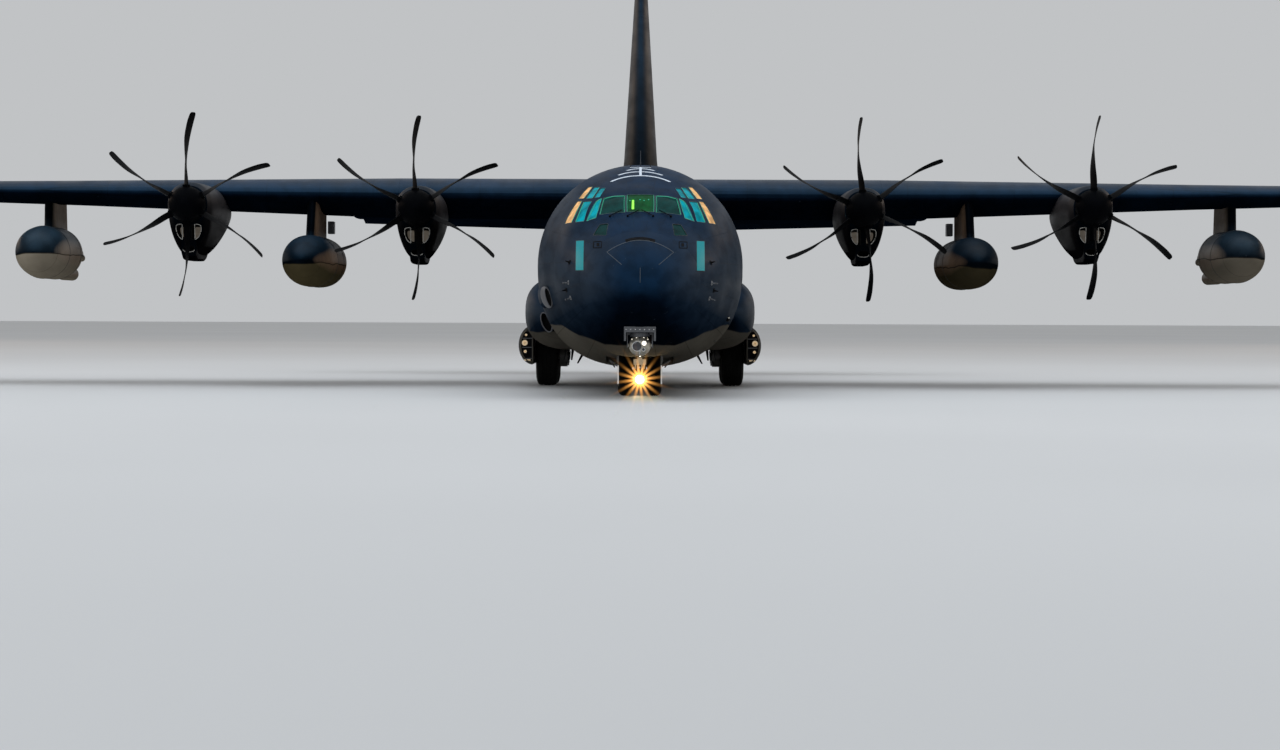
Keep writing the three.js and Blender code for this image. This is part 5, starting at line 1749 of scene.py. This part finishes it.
# The part of the nose scoop's skin that its band covers, and the stations between which the
# black plates inside the scoops lie, as painted shade in their mouths
SCOOP_BAND = [(0, 4000), (3780, 5500), (0, 4000)]
NOSE_SCOOP_PLUG = (3600, 3690)
LOW_SCOOP_PLUG = (9120, 9140)


def scoop_ring(row, wall, count=36):
    station, x, z, half_width, half_height, lean = row
    across = (half_width - wall) * np.cos(turns(count))
    up = (half_height - wall) * np.sin(turns(count))
    c, s = math.cos(math.radians(lean)), math.sin(math.radians(lean))
    return section(x + across * c + up * s, station, z + up * c - across * s)


def scoop(rows, wall):
    fine = smooth_rows(rows, np.linspace(rows[0][0], rows[-1][0], 16))
    return loft([scoop_ring(row, wall) for row in fine])


def scoop_mouth(rows, depth, wall):
    """The hole of a scoop, from ahead of its first row to a depth inside."""
    first = np.array(rows[0], float)
    inside = first + (np.array(rows[1], float) - first) * depth / (rows[1][0] - first[0])
    ahead = first - (50, 0, 0, 0, 0, 0)
    return loft([scoop_ring(row, wall) for row in (ahead, first, inside)])


def make_sponsons():
    piece("sponson_skin_left", sponson(), "sponson", replaces=["sponson_left"])
    made = cut(join(sponson(), scoop(LOW_SCOOP, 0)), scoop_mouth(LOW_SCOOP, 400, 22),
               body(FORWARD_END, CENTER_END, -1))
    piece("sponson_skin_right", flipped(made), "sponson", replaces=["sponson_right"])
    rim = flipped(hoop(scoop_ring(LOW_SCOOP[0], 10, 44), 13))
    plug = loft([scoop_ring([station, *LOW_SCOOP[0][1:]], 18) for station in LOW_SCOOP_PLUG])
    # A black plug in the scoop's mouth: painted shade
    piece("low_scoop_shade_plug", common(flipped(plug), right_of_body()), "shade_black")
    piece("low_scoop_rim", common(rim, right_of_body()), "trim")


def right_of_body():
    """The space outside the straight part of the body, on the right."""
    return cut(block((-4000, 0), (8000, 12000), (0, 4000)), body(FORWARD_END, CENTER_END, -1))


# The left main gear door, half an oval: its inner edge, height, reach and half height
GEAR_DOOR = (2480, 955, 325, 445)
# Its sections. Columns: station, share of its reach
GEAR_DOOR_ENDS = [(12050, 0.6), (12090, 0.8), (12200, 1), (15500, 1), (15700, 0.6)]
# Lamps in its face. Columns: x, height, radius
GEAR_DOOR_LAMPS = [(2672, 1005, 66), (2660, 805, 34), (2642, 1190, 26)]
# Heights of the ribs on its face, and the stations between which they lie
GEAR_DOOR_RIBS = (640, 900, 1110, 1280)
RIB_DEPTH = (12150, 12180)
# Stations of the hollow in its front, of the black dish there as painted shade, and of the lamps'
# cases and wells
GEAR_DOOR_HOLLOW = (12000, 12190)
GEAR_DOOR_DISH = (12178, 12188)
GEAR_LAMP_CASE = (12080, 12180)
GEAR_LAMP_WELL = (12040, 12150)


def gear_door():
    side, height, reach, half = GEAR_DOOR
    angles = np.radians(np.linspace(-90, 90, 33))
    out, up = reach * np.cos(angles), half * np.sin(angles)
    rings = [section(side + out * share, station, height + up * (0.5 + share / 2))
             for station, share in GEAR_DOOR_ENDS]
    return cut(loft(rings), sponson_core(-1))


def door_face(reach_share, first, last):
    """The D shape of a main gear door as seen from ahead, made smaller by a share."""
    side, height, reach, half = GEAR_DOOR
    angles = np.radians(np.linspace(-90, 90, 33))
    outline = [(side + 22 + (reach * reach_share - 22) * math.cos(a),
                height + half * reach_share * math.sin(a)) for a in angles]
    return prism("station", outline, first, last)


def make_gear_doors():
    side, height, reach, half = GEAR_DOOR
    skin = cut(gear_door(), door_face(0.86, *GEAR_DOOR_HOLLOW))
    pair("gear_door_skin", skin, "sponson", replaces="main_gear_door_{side}")
    # A black dish in the door's hollow: painted shade
    pair("gear_door_shade_dish", door_face(0.855, *GEAR_DOOR_DISH), "dark")
    angles = np.radians(np.linspace(-88, 88, 30))
    edge = section(side + (reach + 2) * np.cos(angles), 12170, height + (half + 2) * np.sin(angles))
    pair("gear_door_rim", cut(pipe(edge, 8, 8), sponson_core(-1)), "trim")
    holders, bulbs = [], []
    for x, z, radius in GEAR_DOOR_LAMPS:
        case = peg(x, z, *GEAR_LAMP_CASE, radius, 32)
        holders.append(cut(case, peg(x, z, *GEAR_LAMP_WELL, radius * 0.55, 32)))
        glass_middle = (x, GEAR_LAMP_WELL[1], z)
        bulbs.append(ellipsoid(glass_middle, (radius * 0.34, 20, radius * 0.34), 24))
    holders.append(block((2540, 2680), (12150, 12178), (590, 622)))
    # The lamp holders take a painted lamplight
    pair("gear_door_lamp_holder", gathered(holders), "lamp_lit_gear")
    pair("gear_door_lamp", gathered(bulbs), "lamp_off")
    ribs = [block((side + 30, side + 250), RIB_DEPTH, (z - 9, z + 9)) for z in GEAR_DOOR_RIBS]
    pair("gear_door_ribs", common(gathered(ribs), door_face(0.85, 12000, 12300)), "bracket")


# Main gear legs: the heights of their ends, the bars along x and the bolts of the brakes.
# Columns of the bars: first x, last x, radius, sides
LEG_HEIGHTS = (560, 1299)
LEG_BARS = [
    (1720, 2370, 70, 32),
    (1700, 1880, 250, 48),
]
BRAKE_BOLTS = 8
BRAKE_BOLT_CIRCLE = 170


def make_struts():
    """Main gear legs, with the brakes and the links between the wheels."""
    parts, bright, dark = [], [], []
    for station in MAIN_AXLES.values():
        parts.append(post(LEG_SIDE, station, *LEG_HEIGHTS, LEG_RADIUS, 36))
        parts += [crossbar(first, last, station, MAIN_AXLE_HEIGHT, radius, sides)
                  for first, last, radius, sides in LEG_BARS]
    parts.append(block((1750, 1850), tuple(MAIN_AXLES.values()), (600, 700)))
    legs = cut(join(*parts), body(FORWARD_END, CENTER_END, -1))
    pair("gear_legs", legs, "leg", replaces="main_struts_{side}")
    for station in MAIN_AXLES.values():
        bright += [crossbar(1686, 1701, station + BRAKE_BOLT_CIRCLE * math.cos(turn),
                            MAIN_AXLE_HEIGHT + BRAKE_BOLT_CIRCLE * math.sin(turn), 20, 8)
                   for turn in turns(BRAKE_BOLTS)]
        bright.append(rod((1690, station - 110, 620), (1730, station - 70, 1010), 17, sides=12))
        dark += [pipe([(x, station - ahead, z) for x, ahead, z in path], radius)
                 for path, radius in GEAR_HOSES]
    pair("gear_leg_fittings", gathered(bright), "steel")
    pair("gear_hoses", gathered(dark), "seal")


def make_nose_leg():
    axle = (NOSE_AXLE, NOSE_AXLE_HEIGHT)
    leg = join(*[post(0, NOSE_AXLE, *row) for row in NOSE_LEG_RODS],
               rod(*NOSE_BRACE), block(*NOSE_MOUNT))
    piece("nose_leg", cut(leg, post(0, NOSE_AXLE, 1000, 1500, 77)), "leg", replaces=["nose_strut"])
    piston = cut(post(0, *axle, 1450, 70), crossbar(-200, 200, *axle, 66, 32))
    piece("nose_piston", piston, "steel", "nose_fork", ["nose_fork"])
    lug = cut(crossbar(-135, 135, *axle, 110, 40), crossbar(-200, 200, *axle, 66, 32))
    collar = post(0, NOSE_AXLE, 600, 680, 92)
    parts = [lug, collar, block(*LAMP_ARM), pipe(NOSE_HOSE, 9)]
    piece("nose_lug", gathered(parts), "leg", "nose_fork")
    links = [prism("x", LINK_MIDDLE, -50, 50), crossbar(-78, 78, 3880, 720, 24)]
    for side in (-1, 1):
        links.append(prism("x", LINK_CHEEK, *sorted(side * x for x in CHEEK_SIDES)))
        links += [rod((side * x0, s0, z0), (side * x1, s1, z1), 15)
                  for (x0, s0, z0), (x1, s1, z1) in LINK_RODS]
    # The links take a painted light of the taxi lamp
    piece("nose_links", gathered(links), "lamp_lit_gear", "nose_fork")
    x, station, z = TAXI_LAMP
    piece("taxi_lamp_shade", turned(LAMP_SHADE, x, z, 48), "gear", "nose_fork")
    piece("taxi_lamp", ellipsoid((x, station + 10, z), (84, 10, 84), 32), "headlight", "nose_fork")


# Open nose gear doors: stations of their links, and the lit front edge as stations and heights
NOSE_DOOR_LINKS = (3300, 3450, 3600)
NOSE_DOOR_EDGE = [(3222, 3230), (263, 640)]
# Bars along a door. Columns: distance outboard, station and height of both ends
NOSE_DOOR_BARS = [
    ((60, 3290, 660), (60, 3610, 690)),
    ((150, 3300, 735), (60, 3450, 600)),
]


def make_nose_doors():
    """Edges and linkage of the open nose gear doors."""
    outer = NOSE_WELL[0][0] - 1
    pair("nose_door_edge", block((outer - 25, outer - 1), *NOSE_DOOR_EDGE), "lit_edge")
    rods = []
    for station in NOSE_DOOR_LINKS:
        rods.append(rod((outer, station, 640), (outer + 170, station, 742), 13))
        rods.append(post(outer - 4, station, 700, 820, 20, 24))
        rods.append(ellipsoid((outer + 8, station, 640), (26, 26, 26), 12))
    rods += [rod((outer + x0, s0, z0), (outer + x1, s1, z1), 14)
             for (x0, s0, z0), (x1, s1, z1) in NOSE_DOOR_BARS]
    pair("nose_door_rods", gathered(rods), "leg")


def make_gear():
    make_sponsons()
    make_gear_doors()
    make_struts()
    make_nose_leg()
    make_nose_doors()
    for name, station in MAIN_AXLES.items():
        for side, x in (("left", MAIN_TRACK_HALF), ("right", -MAIN_TRACK_HALF)):
            make_main_wheel(f"main_wheel_{name}_{side}", x, station)
    make_nose_wheels()


MAIN_TYRE = [(-205, 310), (-245, 350), (-258, 430), (-258, 530), (-240, 610), (-205, 668),
             (-160, 686), (-100, 693), (-96, 680), (-80, 680), (-76, 694), (-10, 694), (-8, 681),
             (8, 681), (10, 694), (76, 694), (80, 680), (96, 680), (100, 693), (160, 686),
             (205, 668), (240, 610), (258, 530), (258, 430), (245, 350), (205, 310)]
MAIN_RIM = [(-205, 75), (-205, 130), (-150, 150), (-140, 250), (-195, 285), (-205, 318),
            (205, 318), (195, 285), (140, 250), (150, 150), (205, 130), (205, 75)]
NOSE_TYRE = [(-118, 208), (-145, 240), (-152, 320), (-142, 395), (-114, 448), (-72, 474),
             (-30, 482), (-26, 471), (-14, 471), (-10, 482), (10, 482), (14, 471), (26, 471),
             (30, 482), (72, 474), (114, 448), (142, 395), (152, 320), (145, 240), (118, 208)]
NOSE_RIM = [(-112, 62), (-112, 100), (-70, 112), (-66, 165), (-100, 190), (-112, 214),
            (112, 214), (100, 190), (66, 165), (70, 112), (112, 100), (112, 62)]
NOSE_TYRE_MIDDLE = 300


def make_main_wheel(node, x, station):
    place = (x, station, MAIN_AXLE_HEIGHT)
    piece(f"tyre_{node}", wheel_ring(MAIN_TYRE, *place), "tyre", node, [node])
    bolts = [crossbar(x + face - 18, x + face + 18, station + 200 * math.cos(turn),
                      MAIN_AXLE_HEIGHT + 200 * math.sin(turn), 16, 8)
             for face in (-150, 150) for turn in turns(10)]
    piece(f"rim_{node}", gathered([wheel_ring(MAIN_RIM, *place), *bolts]), "rim", node)


def make_nose_wheels():
    places = [(x, NOSE_AXLE, NOSE_AXLE_HEIGHT) for x in (-NOSE_TYRE_MIDDLE, NOSE_TYRE_MIDDLE)]
    tyres = [wheel_ring(NOSE_TYRE, *place) for place in places]
    rims = [wheel_ring(NOSE_RIM, *place) for place in places]
    rims.append(crossbar(-400, 400, NOSE_AXLE, NOSE_AXLE_HEIGHT, 60))
    piece("nose_tyres", gathered(tyres), "tyre", "nose_wheels", ["nose_wheels"])
    piece("nose_rims", gathered(rims), "rim", "nose_wheels")


# Stores

def store_profile(profile):
    """The profile as a smooth curve, with its ends round."""
    first, last = profile[0][0], profile[-1][0]
    share = (1 - np.cos(np.linspace(0, np.pi, 44))) / 2

    def warp(values):
        return np.arccos(1 - 2 * np.clip((values - first) / (last - first), 0, 1))
    rows = smooth_rows(profile, first + share * (last - first), warp)
    return [(station, max(radius, 0)) for station, radius in rows]


def pylon_solid(side, height, outline):
    """A pylon with a round nose and a thin tail, from the corners of its side."""
    share = (1 - np.cos(np.pi * np.arange(18) / 17)) / 2
    half = PYLON_HALF * np.minimum(1, np.sqrt(np.minimum(share * 9, (1 - share) * 5)))
    half = np.maximum(half, 4)
    low_first, low_last, high_last, high_first = outline
    rings = []
    for (first, rise), (last, _) in ((low_first, low_last), (high_first, high_last)):
        along = first + share * (last - first)
        right, left = [section(side + way * half, along, height + rise) for way in (1, -1)]
        rings.append(np.concatenate([right, left[::-1]]))
    return loft(rings)


def store(kind):
    side, height = kind["side"], kind["height"]
    whole = join(turned(store_profile(kind["profile"]), side, height),
                 pylon_solid(side, height, kind["pylon"]))
    return cut(whole, wing_solid(WING_JOINT, WING_TIP, 1),
               block((side - 500, side + 500), (9000, 18000), (4420, 6000)))


# Fittings under a pod. Columns: distance outboard of its middle, station, height above its
# middle, half lengths
POD_KNOB = [(-605, 14000, -105), (70, 150, 85)]
# Filler caps on a store as (distance outboard, station), and their heights above its middle
CAPS = [(0, 12750), (150, 13300)]
CAP_HEIGHTS = (560, 602)
# The box on each tank's pylon: from and to in x, station and height
PYLON_BOX = [(7325, 7470), (14250, 14600), (3571, 3870)]
SPOKES = 16


def make_stores():
    pair("drop_tank", store(TANK), "tank", replaces="fuel_tank_{side}")
    pair("hose_pod", store(POD), "pod", replaces="refuel_pod_{side}")
    pair("pylon_box", rounded_box(*PYLON_BOX, 18), "bracket")
    side, height = POD["side"], POD["height"]
    (aside, station, rise), radii = POD_KNOB
    knob = ellipsoid((side + aside, station, height + rise), radii)
    hose_case = turned(HOSE_CASE, side - 95, height - 470, 44)
    hump = turned(POD_HUMP, side, height - 190, 36)
    pair("pod_fittings", gathered([knob, hose_case, hump]), "pod")
    spokes = [rod((side + 30 * math.cos(turn), 16235, height + 30 * math.sin(turn)),
                  (side + 138 * math.cos(turn), 16404, height + 138 * math.sin(turn)), 5, sides=6)
              for turn in turns(SPOKES)]
    drogue = cut(*[turned(profile, side, height, 40) for profile in DROGUE])
    # The drogue takes the cream finish with its painted glow
    pair("hose_drogue", gathered([drogue, *spokes]), "inside")
    for name, kind in (("tank", TANK), ("pod", POD)):
        side, height = kind["side"], kind["height"]
        low, high = [height + rise for rise in CAP_HEIGHTS]
        caps = [post(side + aside, station, low, high, 70, 28) for aside, station in CAPS]
        bands = [hoop(section(side + radius * np.cos(turns(48)), station,
                              height + radius * np.sin(turns(48))), 5, 6)
                 for station, radius in kind["bands"]]
        pair(f"{name}_bands", gathered([*caps, *bands]), "seal")


# Turret

# The sensor ball: the distance of its eyes' glass ahead of its middle, and the bolts above it
EYE_GLASS = 176
TURRET_BOLTS = range(-270, 271, 90)
TURRET_BOLT_HEIGHT = 1379


def make_turret():
    _, station, height = TURRET
    eyes = [(x, height + z, radius) for x, z, radius in TURRET_EYES]
    (main_x, main_z, _), window, _ = eyes

    def bored(x, z, first, last, radius):
        return peg(x, z, station + first, station + last, radius)
    ball = ellipsoid(TURRET, (BALL_RADIUS,) * 3, 64)
    wells = [bored(x, z, -300, -EYE_GLASS, radius) for x, z, radius in eyes]
    trunnions = crossbar(-232, 232, station, height, 35)
    shell = join(cut(ball, *wells), trunnions)
    piece("turret_shell", shell, "turret", "turret_ball", ["turret_ball"])
    rims = [cut(bored(x, z, -EYE_GLASS - 20, -EYE_GLASS, radius + 8),
                bored(x, z, -EYE_GLASS - 24, -EYE_GLASS + 6, radius - 4)) for x, z, radius in eyes]
    belt = cut(crossbar(-9, 9, station, height, BALL_RADIUS + 5, 64),
               crossbar(-20, 20, station, height, BALL_RADIUS - 8, 64),
               bored(main_x, main_z, -300, -150, 100))
    piece("turret_rims", gathered([*rims, belt]), "steel", "turret_ball")
    lenses = [ellipsoid((x, station - EYE_GLASS - 2, z), (radius - 4, 14, radius - 4), 32)
              for x, z, radius in (eyes[0], eyes[2])]
    piece("turret_eyes", gathered(lenses), "lens", "turret_ball")
    # The bright window and the small glints glow: painted glints
    x, z, radius = window
    glints = [ellipsoid((x, station - EYE_GLASS - 4, z), (radius - 4, 12, radius - 4), 28)]
    for x, z in TURRET_GLINTS:
        depth = math.sqrt(BALL_RADIUS ** 2 - x * x - z * z)
        glints.append(ellipsoid((x, station - depth + 5, height + z), (12, 7, 10), 16))
    piece("turret_glints", gathered(glints), "glint_glow", "turret_ball")
    bolts = [peg(x, TURRET_BOLT_HEIGHT, station - 312, station - 296, 11, 6) for x in TURRET_BOLTS]
    piece("turret_bolts", gathered(bolts), "steel")


# Fittings and markings on the skin

def nose_normal(x, z):
    """Outward direction of the nose at a point seen from ahead."""
    here, right, up = on_nose([x, x + 5, x], [z, z, z + 5])
    normal = np.cross(right - here, up - here)
    normal /= np.linalg.norm(normal)
    return here, -normal if normal[1] > 0 else normal


def probe(x, z):
    here, out = nose_normal(x, z)
    tip = here + out * 110
    arm = [here - out * 15, here + out * 85, tip + (0, -45, 0), tip + (0, -PROBE_LENGTH, 0)]
    return gathered([pipe(arm, 15), rod(here - out * 4, here + out * 10, 48, 40)])


def vane(x, z):
    here, out = nose_normal(x, z)
    return gathered([rod(here - out * 10, here + out * 12, 50, 44), rod(here, here + out * 95, 24, 8)])


def blade_aerial(foot, height, chord=220, lean=70, cant=0, thick=11):
    """A blade aerial on the skin, from the place of its foot, its height (negative when it
    hangs), its chord, and how far its tip lies back and to the side."""
    x, station, z = foot
    rings = []
    for share in (0, 0.85, 1):
        half = chord / 2 * (1 - 0.4 * share)
        rings.append(section(x + cant * share + thick * (1 - 0.5 * share) * np.sin(turns(20)),
                             station + lean * share + half * np.cos(turns(20)),
                             z + height * share))
    return loft(rings)


# Fittings and markings of the nose, seen from ahead as (x, height)
NOSE_SQUARE = [(758, 2966), (915, 3092)]
SQUARE_MIDDLE = [(800, 3060), (850, 3000)]
NOSE_STRIP = [(1112, 3118), (1266, 3118), (1258, 2530), (1104, 2530)]
NOSE_STRIP_EDGE = [(1103, 3128), (1275, 3128), (1267, 2520), (1095, 2520)]
NOSE_PROBES = [(1411, 2292), (1367, 1993)]
PROBE_LENGTH = 260
NOSE_VANES = [(1391, 2694), (1455, 2150)]
# Wipers, from their foot to their tip: x of each, and the heights of both
WIPERS = [(600, 360), (250, 20)]
WIPER_HEIGHTS = (3600, 3720)


def make_nose_details():
    lines = [ribbon(on_nose, arch(646, 2876, 3108), 9)]
    lines.append(ribbon(on_nose, [(0, 2565), (0, 2280)], 9, 3))
    squares = []
    for side in (-1, 1):
        lines.append(ribbon(on_nose, [(side * 646, 2876), (side * 357, 2625)], 9))
        first, last = [(side * x, z) for x, z in NOSE_SQUARE]
        squares += outlined(on_nose, first, last, 15, 4, 6)
        first, last = [(side * x, z) for x, z in SQUARE_MIDDLE]
        squares.append(patch(on_nose, rectangle(first, last), 7, 2))
    piece("nose_lines", gathered(lines), "line")
    piece("nose_squares", gathered(squares), "dark")
    piece("nose_slit", ribbon(on_nose, arch(285, 3092, 3142), 54, 7), "dark")
    strip, edge = patch(on_nose, NOSE_STRIP, 5), patch(on_nose, NOSE_STRIP_EDGE, 2)
    pair("nose_strip", strip, "strip")
    pair("nose_strip_edge", edge, "seal")
    pair("nose_probes", gathered([probe(x, z) for x, z in NOSE_PROBES]), "bracket")
    pair("nose_vanes", gathered([vane(x, z) for x, z in NOSE_VANES]), "dark")
    wipers = []
    for foot, tip in WIPERS:
        path = on_nose(np.linspace(foot, tip, 6), np.linspace(*WIPER_HEIGHTS, 6))
        out = nose_normal(foot, WIPER_HEIGHTS[0])[1]
        wipers.append(pipe(path + out * 28, 9))
        wipers.append(rod(path[0] - out * 20, path[0] + out * 38, 20))
    pair("wipers", gathered(wipers), "dark")


# White stripes on the roof. Columns: half width, station of the ends, station of the middle,
# width of the stripe
ROOF_ARCS = [
    (600, 3590, 3885, 66),
    (450, 4085, 4320, 62),
    (279, 4530, 4720, 60),
    (219, 4961, 4961, 60),
]
# Columns: station, height
ROOF_AERIALS = [(6500, 330), (8300, 260), (9900, 330), (19300, 260), (20400, 330)]


# Doors and hatches of the roof: opposite corners of the door as (x, station), the stations
# at which the hatches start, and their half width and length
ROOF_DOOR = [(-210, 5050), (210, 5750)]
ROOF_HATCHES = (6900, 10700, 17900)
HATCH_HALF = 330
HATCH_LENGTH = 620


def make_roof_details():
    arcs = [ribbon(on_roof, arch(*curve), width) for *curve, width in ROOF_ARCS]
    arcs.append(ribbon(on_roof, [(0, 3885), (0, 4961)], 50, 5))
    piece("receptacle_marks", gathered(arcs), "white")
    lines = outlined(on_roof, *ROOF_DOOR, 14)
    lines.append(ribbon(on_roof, [(0, station) for _, station in ROOF_DOOR], 12))
    for start in ROOF_HATCHES:
        lines += outlined(on_roof, (-HATCH_HALF, start), (HATCH_HALF, start + HATCH_LENGTH), 14)
    piece("roof_hatch_lines", gathered(lines), "dark")
    aerials = [blade_aerial(on_roof(0, station)[0] - (0, 0, 8), height)
               for station, height in ROOF_AERIALS]
    dome = ellipsoid(on_roof(0, 8900)[0] + (0, 0, 4), (190, 330, 95))
    piece("roof_aerials", gathered([*aerials, dome]), "radome")
    piece("fin_beacon", ellipsoid((0, 27600, 11840), (45, 90, 55), 24), "red")
    pair("tail_strip", patch(on_side, rectangle((20500, 4150), (21400, 4060)), 5), "strip")


# Aerials under the left side. Columns: x, length, how far the tip stands to the side
BELLY_AERIALS = [(1460, 270, 30), (1245, 210, 115)]
BELLY_DOMES = (7300, 17800)


def make_belly_details():
    aerials = [blade_aerial(on_belly(x, 8000)[0] + (0, 0, 20), -length, 150, 60, cant, 34)
               for x, length, cant in BELLY_AERIALS]
    pair("belly_aerials", gathered(aerials), "dark")
    domes = [ellipsoid(on_belly(0, station)[0], (130, 220, 70), 32) for station in BELLY_DOMES]
    piece("belly_domes", gathered(domes), "radome")
    vent = ellipsoid(on_side(4380, 1588)[0] + (4, 0, 0), (46, 110, 62), 28)
    piece("left_vent", vent, "dark")
    bulb = ellipsoid(on_side(4290, 1606)[0] + (26, 0, 0), (24, 18, 14), 16)
    piece("left_vent_light", bulb, "lamp_off")


# Round windows in the side, as (station, height)
SIDE_WINDOWS = {
    "hull": [(7150, 3180), (8350, 3180), (16650, 3180)],
    "jump": [(17700, 2320)],
    "crew": [(5360, 2380)],
}
WINDOW_RADIUS = 130
# Columns: key in the table above, name of the panes, name of their rims
WINDOW_PIECES = [
    ("hull", "hull_panes", "hull_pane_rims"),
    ("jump", "jump_door_pane", "jump_door_pane_rim"),
    ("crew", "crew_door_pane", "crew_door_pane_rim"),
]


def side_rod(station, z, radius):
    return crossbar(600, 2600, station, z, radius, 40)


def window_holes(places):
    return [side_rod(station, z, WINDOW_RADIUS) for station, z in places]


def round_windows(places):
    """Glass and rims of round windows in the left side."""
    panes, rims = [], []
    for station, z in places:
        reach = (station - 220, station + 220)
        panes.append(common(body_shell(*reach, 12, 24), side_rod(station, z, WINDOW_RADIUS - 2)))
        rims.append(cut(common(body_shell(*reach, -6, 40), side_rod(station, z, WINDOW_RADIUS + 22)),
                        side_rod(station, z, WINDOW_RADIUS - 6)))
    return gathered(panes), gathered(rims)


def make_side_windows():
    for name, pane_name, rim_name in WINDOW_PIECES:
        panes, rims = round_windows(SIDE_WINDOWS[name])
        if name == "crew":
            piece(pane_name, panes, "glass_side", "crew_door")
            piece(rim_name, rims, "seal", "crew_door")
        else:
            pair(pane_name, panes, "glass_side")
            pair(rim_name, rims, "seal")


# Things in the cockpit and the hold, as x, station and height from and to
HUD_GLASS = [(-318, -182), (2870, 2880), (3815, 3985)]
DISPLAY_SIDES = (-900, -600, 600, 900)
CARGO_RAILS = (-1150, -450, 450, 1150)
# Ribs of the hold: stations, width, and their top below the wing and elsewhere
RIB_STATIONS = range(6400, 18650, 510)
RIB_WIDTH = 45
RIB_TOP_AT_WING = 3880
RIB_TOP = 4800
WING_STATIONS = (11900, 17200)


def make_cabin_details():
    glow = [rod((side * 330, 2800, 3990), (side * 690, 2840, 3965), 9) for side in (-1, 1)]
    displays = [block((x - 110, x + 110), (2236, 2246), (3160, 3330)) for x in DISPLAY_SIDES]
    piece("cockpit_displays", gathered([block(*HUD_GLASS), *glow, *displays]), "screen")
    ribs = []
    for station in RIB_STATIONS:
        rib = body_shell(station, station + RIB_WIDTH, WALL + 1, RIB_WIDTH)
        top = RIB_TOP_AT_WING if WING_STATIONS[0] < station < WING_STATIONS[1] else RIB_TOP
        ribs.append(common(rib, block((-2300, 2300), (6000, 19000), (CARGO_FLOOR_TOP + 2, top))))
    piece("cargo_ribs", gathered(ribs), "cabin")
    rails = [block((x - 40, x + 40), (6500, 18600), (CARGO_FLOOR_TOP + 1, CARGO_FLOOR_TOP + 28))
             for x in CARGO_RAILS]
    piece("cargo_rails", gathered(rails), "steel")


def wicks(places):
    """Thin rods that trail behind an edge."""
    return gathered([rod((x, s - 40, z), (x, s + 230, z - 12), 7, 4, 6) for x, s, z in places])


# Spans of the wicks behind an aileron. Tip lamps: side, x, look
WICK_SPANS = (15200, 16600, 18000, 19400)
TIP_LAMPS = [("right", -20190, "green"), ("left", 20190, "red")]


def make_edge_details():
    places = []
    for span in WICK_SPANS:
        _, _, trailing, height, _, _ = row_at(WING, span)
        places.append((span, trailing, height - 40))
    pair("aileron_wicks", wicks(places), "dark", "aileron_{side}")
    for side, x, look in TIP_LAMPS:
        piece(f"tip_lamp_{side}", ellipsoid((x, 13150, 4560), (48, 170, 40), 24), look)
    piece("tail_lamp", ellipsoid((0, 29770, 4620), (60, 40, 60), 24), "lamp_off")


# Carried-over CAD nodes keep their shape and take a finish

def dress_nodes():
    looks = {"cargo_floor": "cabin", "flight_deck": "cabin", "turret_mount": "bracket",
             "turret_yoke": "bracket", "nose_gear_door_left": "belly",
             "nose_gear_door_right": "belly", **{f"engine_{name}": "exhaust" for name in ENGINES}}
    for name, look in looks.items():
        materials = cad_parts[name].data.materials
        materials.clear()
        materials.append(MATERIALS[look])


make_camera()
make_studio()
make_star()
MATERIALS = make_materials()
make_fuselage()
make_glazing()
make_pane_highlights_and_display()
make_side_windows()
make_nose_details()
make_roof_details()
make_belly_details()
make_cabin_details()
make_wings()
make_tail()
make_engines()
make_gear()
make_stores()
make_turret()
make_edge_details()
dress_nodes()
